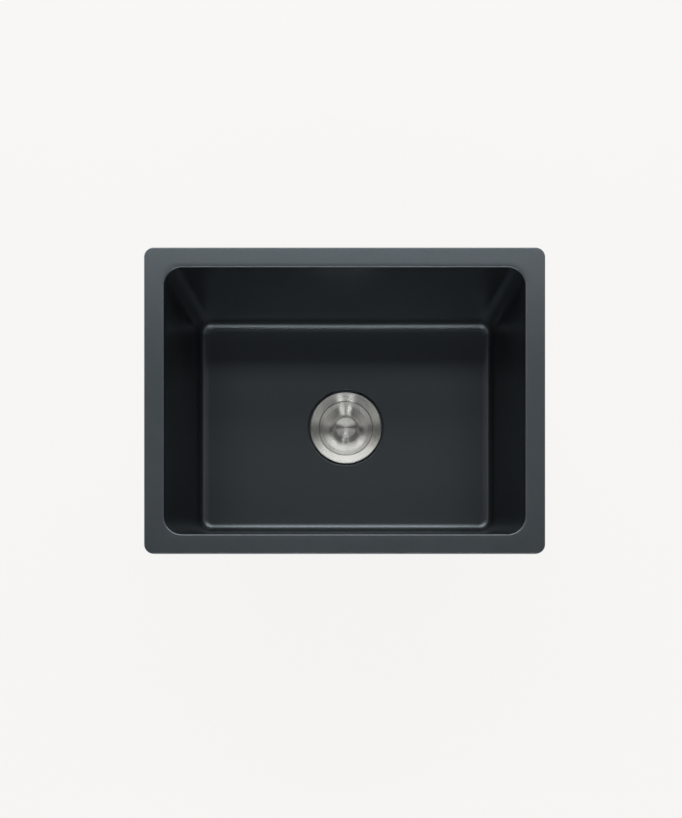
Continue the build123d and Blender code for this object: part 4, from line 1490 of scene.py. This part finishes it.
class SINK_OT_plug(Operator):
    """Builds the dished plug with its turned knob, seal, washer and screw"""

    bl_idname = "sink.plug"
    bl_label = "Plug"

    def execute(self, context):
        waste = context.scene.sink_waste
        bore = waste.plug_bore
        sheet = waste.plug_sheet
        low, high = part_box("plug_cover")
        dish = low.z + sheet
        inner = high.x - waste.plug_lip
        inner_top = high.z - waste.plug_lip_fall
        cover = turned_piece("plug_dish", (
            (bore, dish, 0),
            (waste.plug_dish, dish, 1.2 * MM),
            (inner, inner_top, 2.0 * MM),
            (high.x, high.z, 0.45 * MM),
            (high.x, high.z - sheet, 0.3 * MM),
            (inner, inner_top - sheet, 2.4 * MM),
            (waste.plug_dish, dish - sheet, 1.6 * MM),
            (bore, dish - sheet, 0),
        ), ROUND_LARGE, STEEL)
        settle(cover, "plug", "stainless", "plug_cover")

        low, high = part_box("plug_seal")
        slope = waste.plug_lip_fall / waste.plug_lip
        seal_inner = waste.seal_inner
        ring = turned_piece("plug_ring", (
            (seal_inner, high.z - slope * (high.x - seal_inner), 0.2 * MM),
            (high.x, high.z, 0.3 * MM),
            (high.x, low.z + waste.seat_height, 0.6 * MM),
            (high.x - waste.seal_cone, low.z, 0.5 * MM),
            (seal_inner, low.z, 0.3 * MM),
        ), ROUND_MIDDLE, RUBBER)
        settle(ring, "plug", "rubber", "plug_seal")

        low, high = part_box("plug_knob")
        flank_top = high.z - waste.knob_dome
        hole_end = low.z + waste.screw_depth
        dome = []
        for step in reversed(range(DOME_STEPS)):
            rise = waste.knob_dome * (1 - (step / DOME_STEPS) ** 2)
            dome.append((waste.knob_top * step / DOME_STEPS, flank_top + rise, 0))
        knob = turned_piece("plug_handle", (
            (0, hole_end, 0),
            (bore, hole_end, 0),
            (bore, low.z, 0.2 * MM),
            (high.x, low.z, 0.3 * MM),
            (high.x, low.z + waste.knob_foot, 0.5 * MM),
            (waste.knob_top, flank_top, 1.2 * MM),
            *dome,
        ), ROUND_LARGE, STEEL, closed=False)
        settle(knob, "plug", "stainless", "plug_knob")

        low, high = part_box("plug_washer")
        disc = turned_piece("plug_disc", (
            (bore, low.z, 0.1 * MM),
            (high.x, low.z, 0.25 * MM),
            (high.x, high.z, 0.25 * MM),
            (bore, high.z, 0.1 * MM),
        ), ROUND_SMALL, STEEL)
        settle(disc, "plug", "stainless", "plug_washer")

        head_top = low.z
        low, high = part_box("plug_screw")
        shank = bore - 0.05 * MM
        screw = turned_piece("plug_bolt", (
            (0, low.z, 0),
            (high.x, low.z, 0.6 * MM),
            (high.x, head_top, 0.15 * MM),
            (shank, head_top, 0),
            (shank, high.z, 0.4 * MM),
            (0, high.z, 0),
        ), ROUND_SMALL, STEEL, closed=False)
        cut_with(screw, slot_shape(6 * MM, waste.slot_width, low.z, waste.slot_depth, past=2 * MM))
        settle(screw, "plug", "stainless", "plug_screw")
        return {"FINISHED"}


def clip_bush(sizes, clips, place):
    """A threaded bush with two grooves, on its own axis."""
    low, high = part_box("clip_inserts")
    radius = sizes.bush_hole - 0.02 * MM
    groove = radius - clips.bush_groove
    corners = [(clips.bush_bore, low.z, 0.3 * MM), (radius, low.z, 0.2 * MM)]
    for step in (1, 2):
        middle = low.z + sizes.bush_length * step / 3
        start = middle - clips.bush_groove_width / 2
        end = middle + clips.bush_groove_width / 2
        corners += [(radius, start, 0), (groove, start, 0), (groove, end, 0), (radius, end, 0)]
    corners += [(radius, high.z, 0.2 * MM), (clips.bush_bore, high.z, 0.2 * MM)]
    return turned(rounded(corners), ROUND_BUSH, centre=place)


def clip_screw(clips, axis_x):
    """A clip screw on the Z axis: slotted head, neck, collar and thread."""
    low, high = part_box("clip_screw_right")
    head_radius = high.x - axis_x
    head_top = low.z + clips.head
    arm_top = head_top + 2 * clips.play + clips.sheet
    collar_top = arm_top + clips.collar
    core = clips.screw_radius - clips.thread_depth
    screw = turned_piece("screw", (
        (0, low.z, 0),
        (head_radius, low.z, 0.8 * MM),
        (head_radius, head_top, 0.3 * MM),
        (clips.screw_radius, head_top, 0),
        (clips.screw_radius, arm_top, 0),
        (clips.collar_radius, arm_top, 0.25 * MM),
        (clips.collar_radius, collar_top, 0.25 * MM),
        (core, collar_top, 0),
        (core, high.z, 0.7 * MM),
        (0, high.z, 0),
    ), ROUND_SCREW, ZINC, closed=False)
    run_tree(screw, thread_pattern(), {
        "Radius": core, "Depth": clips.thread_depth, "Pitch": clips.thread_pitch,
        "Length": high.z - collar_top - 1.2 * MM, "Bottom": collar_top + 0.4 * MM,
        "Points per turn": TURN_SCREW,
    })
    past = 1 * MM
    cut_with(screw, slot_shape(head_radius + past, clips.slot_width, low.z, clips.slot_depth, past))
    return screw


def arm_shape(clips, hub_top):
    """A bent strip with a round heel and a blunt tip, along X from the screw's axis."""
    half = clips.arm_width / 2
    thick = clips.sheet / 2
    middle = hub_top - thick
    ramp_end = clips.hub_length + clips.ramp_length
    upper = middle + clips.arm_rise
    path = rounded((
        (-half, middle, 0),
        (clips.hub_length, middle, clips.bend),
        (ramp_end, upper, clips.bend),
        (clips.arm_reach, upper, 0),
    ), closed=False)[1:-1]
    tip = clips.arm_reach - clips.tip_round
    stations = [(-half * cos(angle), middle, half * sin(angle))
                for angle in arc(HEEL_START, 90, HEEL_STEPS)]
    stations += [(point.x, point.y, half) for point in path]
    stations += [(tip + clips.tip_round * sin(angle), upper, half - clips.tip_round * (1 - cos(angle)))
                 for angle in arc(0, 90, TIP_STEPS)]

    # Each station gets eight points: four corners, each bevelled
    verts = []
    for index, (x, z, reach) in enumerate(stations):
        before = stations[max(index - 1, 0)]
        after = stations[min(index + 1, len(stations) - 1)]
        run = Vector((after[0] - before[0], after[1] - before[1])).normalized()
        bevel = min(0.3 * MM, reach / 2)
        for side, up in ((-1, -1), (1, -1), (1, 1), (-1, 1)):
            pairs = [(reach, thick - bevel), (reach - bevel, thick)]
            order = pairs if side == up else pairs[::-1]
            for y, lift in order:
                verts.append((x - run.y * lift * up, side * y, z + run.x * lift * up))
    rings = numbered(len(stations), STRIP_POINTS)
    return verts, ring_faces(rings) + [tuple(rings[0]), tuple(rings[-1])]


def tooth_shape(clips, top):
    """The tooth nearest the tip, a ridge across the arm."""
    end = clips.arm_reach
    start = end - clips.tooth_step / 2
    half = clips.arm_width / 2 - clips.tip_round
    low = top - clips.sheet / 2
    crest = top + clips.tooth
    profile = (
        (start, low),
        (end, low),
        (end, top + 0.85 * clips.tooth),
        (end - 0.12 * MM, crest),
        (end - 0.3 * MM, crest),
        (start, top),
    )
    verts = [(x, side * half, z) for side in (-1, 1) for x, z in profile]
    rings = numbered(2, len(profile))
    return verts, [tuple(rings[0]), tuple(rings[1])] + ring_faces(rings)


def clip_arm(clips):
    """A stowed clip arm about the Z axis: bent strip, screw hole and teeth."""
    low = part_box("clip_right")[0]
    hub_top = low.z + clips.sheet
    arm = new_piece("arm", arm_shape(clips, hub_top), finish(ZINC))
    past = 2 * MM
    hole = turned((
        (0, low.z - past),
        (clips.hole_radius, low.z - past),
        (clips.hole_radius, hub_top + past),
        (0, hub_top + past),
    ), ROUND_HOLE, closed=False)
    cut_with(arm, hole)
    teeth = new_piece("teeth", tooth_shape(clips, hub_top + clips.arm_rise), finish(ZINC))
    run_tree(teeth, row_pattern(), {"Count": clips.teeth, "Step": -clips.tooth_step})
    merged(arm, teeth)
    return arm


class SINK_OT_clips(Operator):
    """Builds the six worktop clips with their screws and brass bushes"""

    bl_idname = "sink.clips"
    bl_label = "Worktop clips"

    def execute(self, context):
        clips = context.scene.sink_clips
        sizes = context.scene.sink_bowl
        places = clip_places(sizes)
        bushes = [clip_bush(sizes, clips, place) for _, place, _, _ in places]
        settle(new_piece("clip_bushes", joined(*bushes), finish(BRASS)), "sink", "brass", "clip_inserts")
        screw = clip_screw(clips, sizes.length / 2 - sizes.clip_inset)
        arm = clip_arm(clips)
        for name, place, heading, _ in places:
            screw_piece = placed_copy(screw, f"grip_screw_{name}", place, heading)
            settle(screw_piece, f"clip_screw_{name}", "zinc_steel", f"clip_screw_{name}")
            arm_piece = placed_copy(arm, f"grip_arm_{name}", place, heading)
            settle(arm_piece, f"clip_{name}", "zinc_steel", f"clip_{name}")
        discard(screw)
        discard(arm)
        return {"FINISHED"}


def soft_lamp(name, place, aim, width, height, strength):
    """A rectangular lamp of an even level that points at a place."""
    lamp = bpy.data.lights.new(name, "AREA")
    lamp.shape = "RECTANGLE"
    lamp.size = width
    lamp.size_y = height
    lamp.energy = strength * pi * width * height
    holder = bpy.data.objects.new(name, lamp)
    holder.location = place
    holder.rotation_mode = "QUATERNION"
    holder.rotation_quaternion = (aim - place).to_track_quat("-Z", "Y")
    bpy.context.scene.collection.objects.link(holder)


def pale_floor(stage):
    """The floor's material. Camera rays, reflections and light that passes through see it near white."""
    material, graph, shader = new_material("pale floor", stage.floor, 0.0, 0.9)
    path = graph.add("ShaderNodeLightPath").outputs
    seen = graph.math("MAXIMUM", path["Is Camera Ray"], path["Is Transmission Ray"])
    seen = graph.math("MAXIMUM", seen, path["Is Glossy Ray"])
    glow = graph.add("ShaderNodeEmission", {"Color": (*stage.ground, 1), "Strength": 1.0})
    veil = graph.math("MULTIPLY", seen, stage.veil)
    mix = graph.add("ShaderNodeMixShader", {0: veil, 1: shader.outputs[0], 2: glow.outputs[0]})
    output = material.node_tree.nodes["Material Output"]
    graph.feed(output.inputs["Surface"], mix.outputs[0])
    return material


class SINK_OT_stage(Operator):
    """Sets the floor, lamps, even light and camera"""

    bl_idname = "sink.stage"
    bl_label = "Stage, lamps and camera"

    def execute(self, context):
        scene = context.scene
        stage = scene.sink_stage
        rim_top = scene.sink_bowl.rim_top
        bend = stage.cove_round
        reach = stage.cove_reach
        curve = [(reach - bend * (1 - sin(angle)), bend * (1 - cos(angle)))
                 for angle in arc(0, 90, COVE_STEPS)]
        outline = [(0, 0), *curve, (reach, stage.cove_height)]
        shape = turned(outline, ROUND_SMALL, closed=False)
        new_piece("floor", shape, pale_floor(stage))

        # Wide soft panels, each by its tilt from the vertical towards the back
        target = Vector((0, 0, rim_top - stage.panel_aim))
        for name, tilt, height, strength in (
            ("window", stage.window_tilt, stage.window_height, stage.window_level),
            ("ceiling", stage.ceiling_tilt, stage.ceiling_height, stage.ceiling_level),
            ("overhead_panel", stage.overhead_tilt, stage.ceiling_height, stage.overhead_level),
            ("front_panel", -stage.front_tilt, stage.window_height, stage.front_level),
        ):
            place = target + stage.panel_reach * Vector((0, sin(tilt), cos(tilt)))
            soft_lamp(name, place, target, stage.panel_width, height, strength)

        # Two narrow lamps, seen as a pair of streaks in the turned steel
        across = sin(stage.strip_tilt)
        for name, turned_by in (("strip_left", -stage.strip_turn), ("strip_right", stage.strip_turn)):
            heading = Vector((sin(turned_by) * across, -cos(turned_by) * across, cos(stage.strip_tilt)))
            place = target + stage.panel_reach * heading
            soft_lamp(name, place, target, stage.strip_width, stage.strip_height, stage.strip_level)

        world = bpy.data.worlds.new("even light")
        world.use_nodes = True
        background = world.node_tree.nodes["Background"]
        background.inputs["Color"].default_value = (*stage.floor, 1)
        background.inputs["Strength"].default_value = stage.sky
        scene.world = world

        camera = bpy.data.cameras.new("overhead")
        camera.lens = stage.lens
        camera.sensor_width = SENSOR_WIDTH
        camera.shift_x = stage.shift_x
        camera.shift_y = stage.shift_y
        holder = bpy.data.objects.new("overhead", camera)
        holder.location = (stage.camera_x, stage.camera_y, rim_top + stage.camera_height)
        scene.collection.objects.link(holder)
        scene.camera = holder
        scene.view_settings.view_transform = "Standard"
        return {"FINISHED"}


class SINK_PT_panel(Panel):
    """Lists the sink's pieces and sizes"""

    bl_idname = "SINK_PT_panel"
    bl_label = "Granite sink"
    bl_space_type = "VIEW_3D"
    bl_region_type = "UI"
    bl_category = "Sink"

    def draw(self, context):
        for operator in OPERATORS:
            self.layout.operator(operator.bl_idname)
        for name, group in GROUPS.items():
            box = self.layout.box()
            box.label(text=name.replace("_", " ").capitalize())
            for key in group.__annotations__:
                box.prop(getattr(context.scene, name), key)


GROUPS = {
    "sink_bowl": SinkBowlSizes,
    "sink_waste": SinkWasteSizes,
    "sink_nuts": SinkNutSizes,
    "sink_basket": SinkBasketSizes,
    "sink_clips": SinkClipSizes,
    "sink_finishes": SinkFinishes,
    "sink_stage": SinkStage,
}
OPERATORS = (
    SINK_OT_bowl,
    SINK_OT_strainer,
    SINK_OT_rings,
    SINK_OT_ring_nut,
    SINK_OT_tail,
    SINK_OT_basket,
    SINK_OT_plug,
    SINK_OT_clips,
    SINK_OT_stage,
)


def register():
    """Adds the classes and the scene's groups of sizes."""
    for group in (*GROUPS.values(), *OPERATORS, SINK_PT_panel):
        bpy.utils.register_class(group)
    for name, group in GROUPS.items():
        setattr(bpy.types.Scene, name, PointerProperty(type=group))


def unregister():
    """Takes them out again."""
    for name in GROUPS:
        delattr(bpy.types.Scene, name)
    for group in (SINK_PT_panel, *reversed(OPERATORS), *reversed(tuple(GROUPS.values()))):
        bpy.utils.unregister_class(group)


def main():
    """Builds every piece and the stage."""
    register()
    bpy.ops.sink.bowl()
    bpy.ops.sink.strainer()
    bpy.ops.sink.rings()
    bpy.ops.sink.ring_nut()
    bpy.ops.sink.tail()
    bpy.ops.sink.basket()
    bpy.ops.sink.plug()
    bpy.ops.sink.clips()
    bpy.ops.sink.stage()


if __name__ == "__main__":
    main()
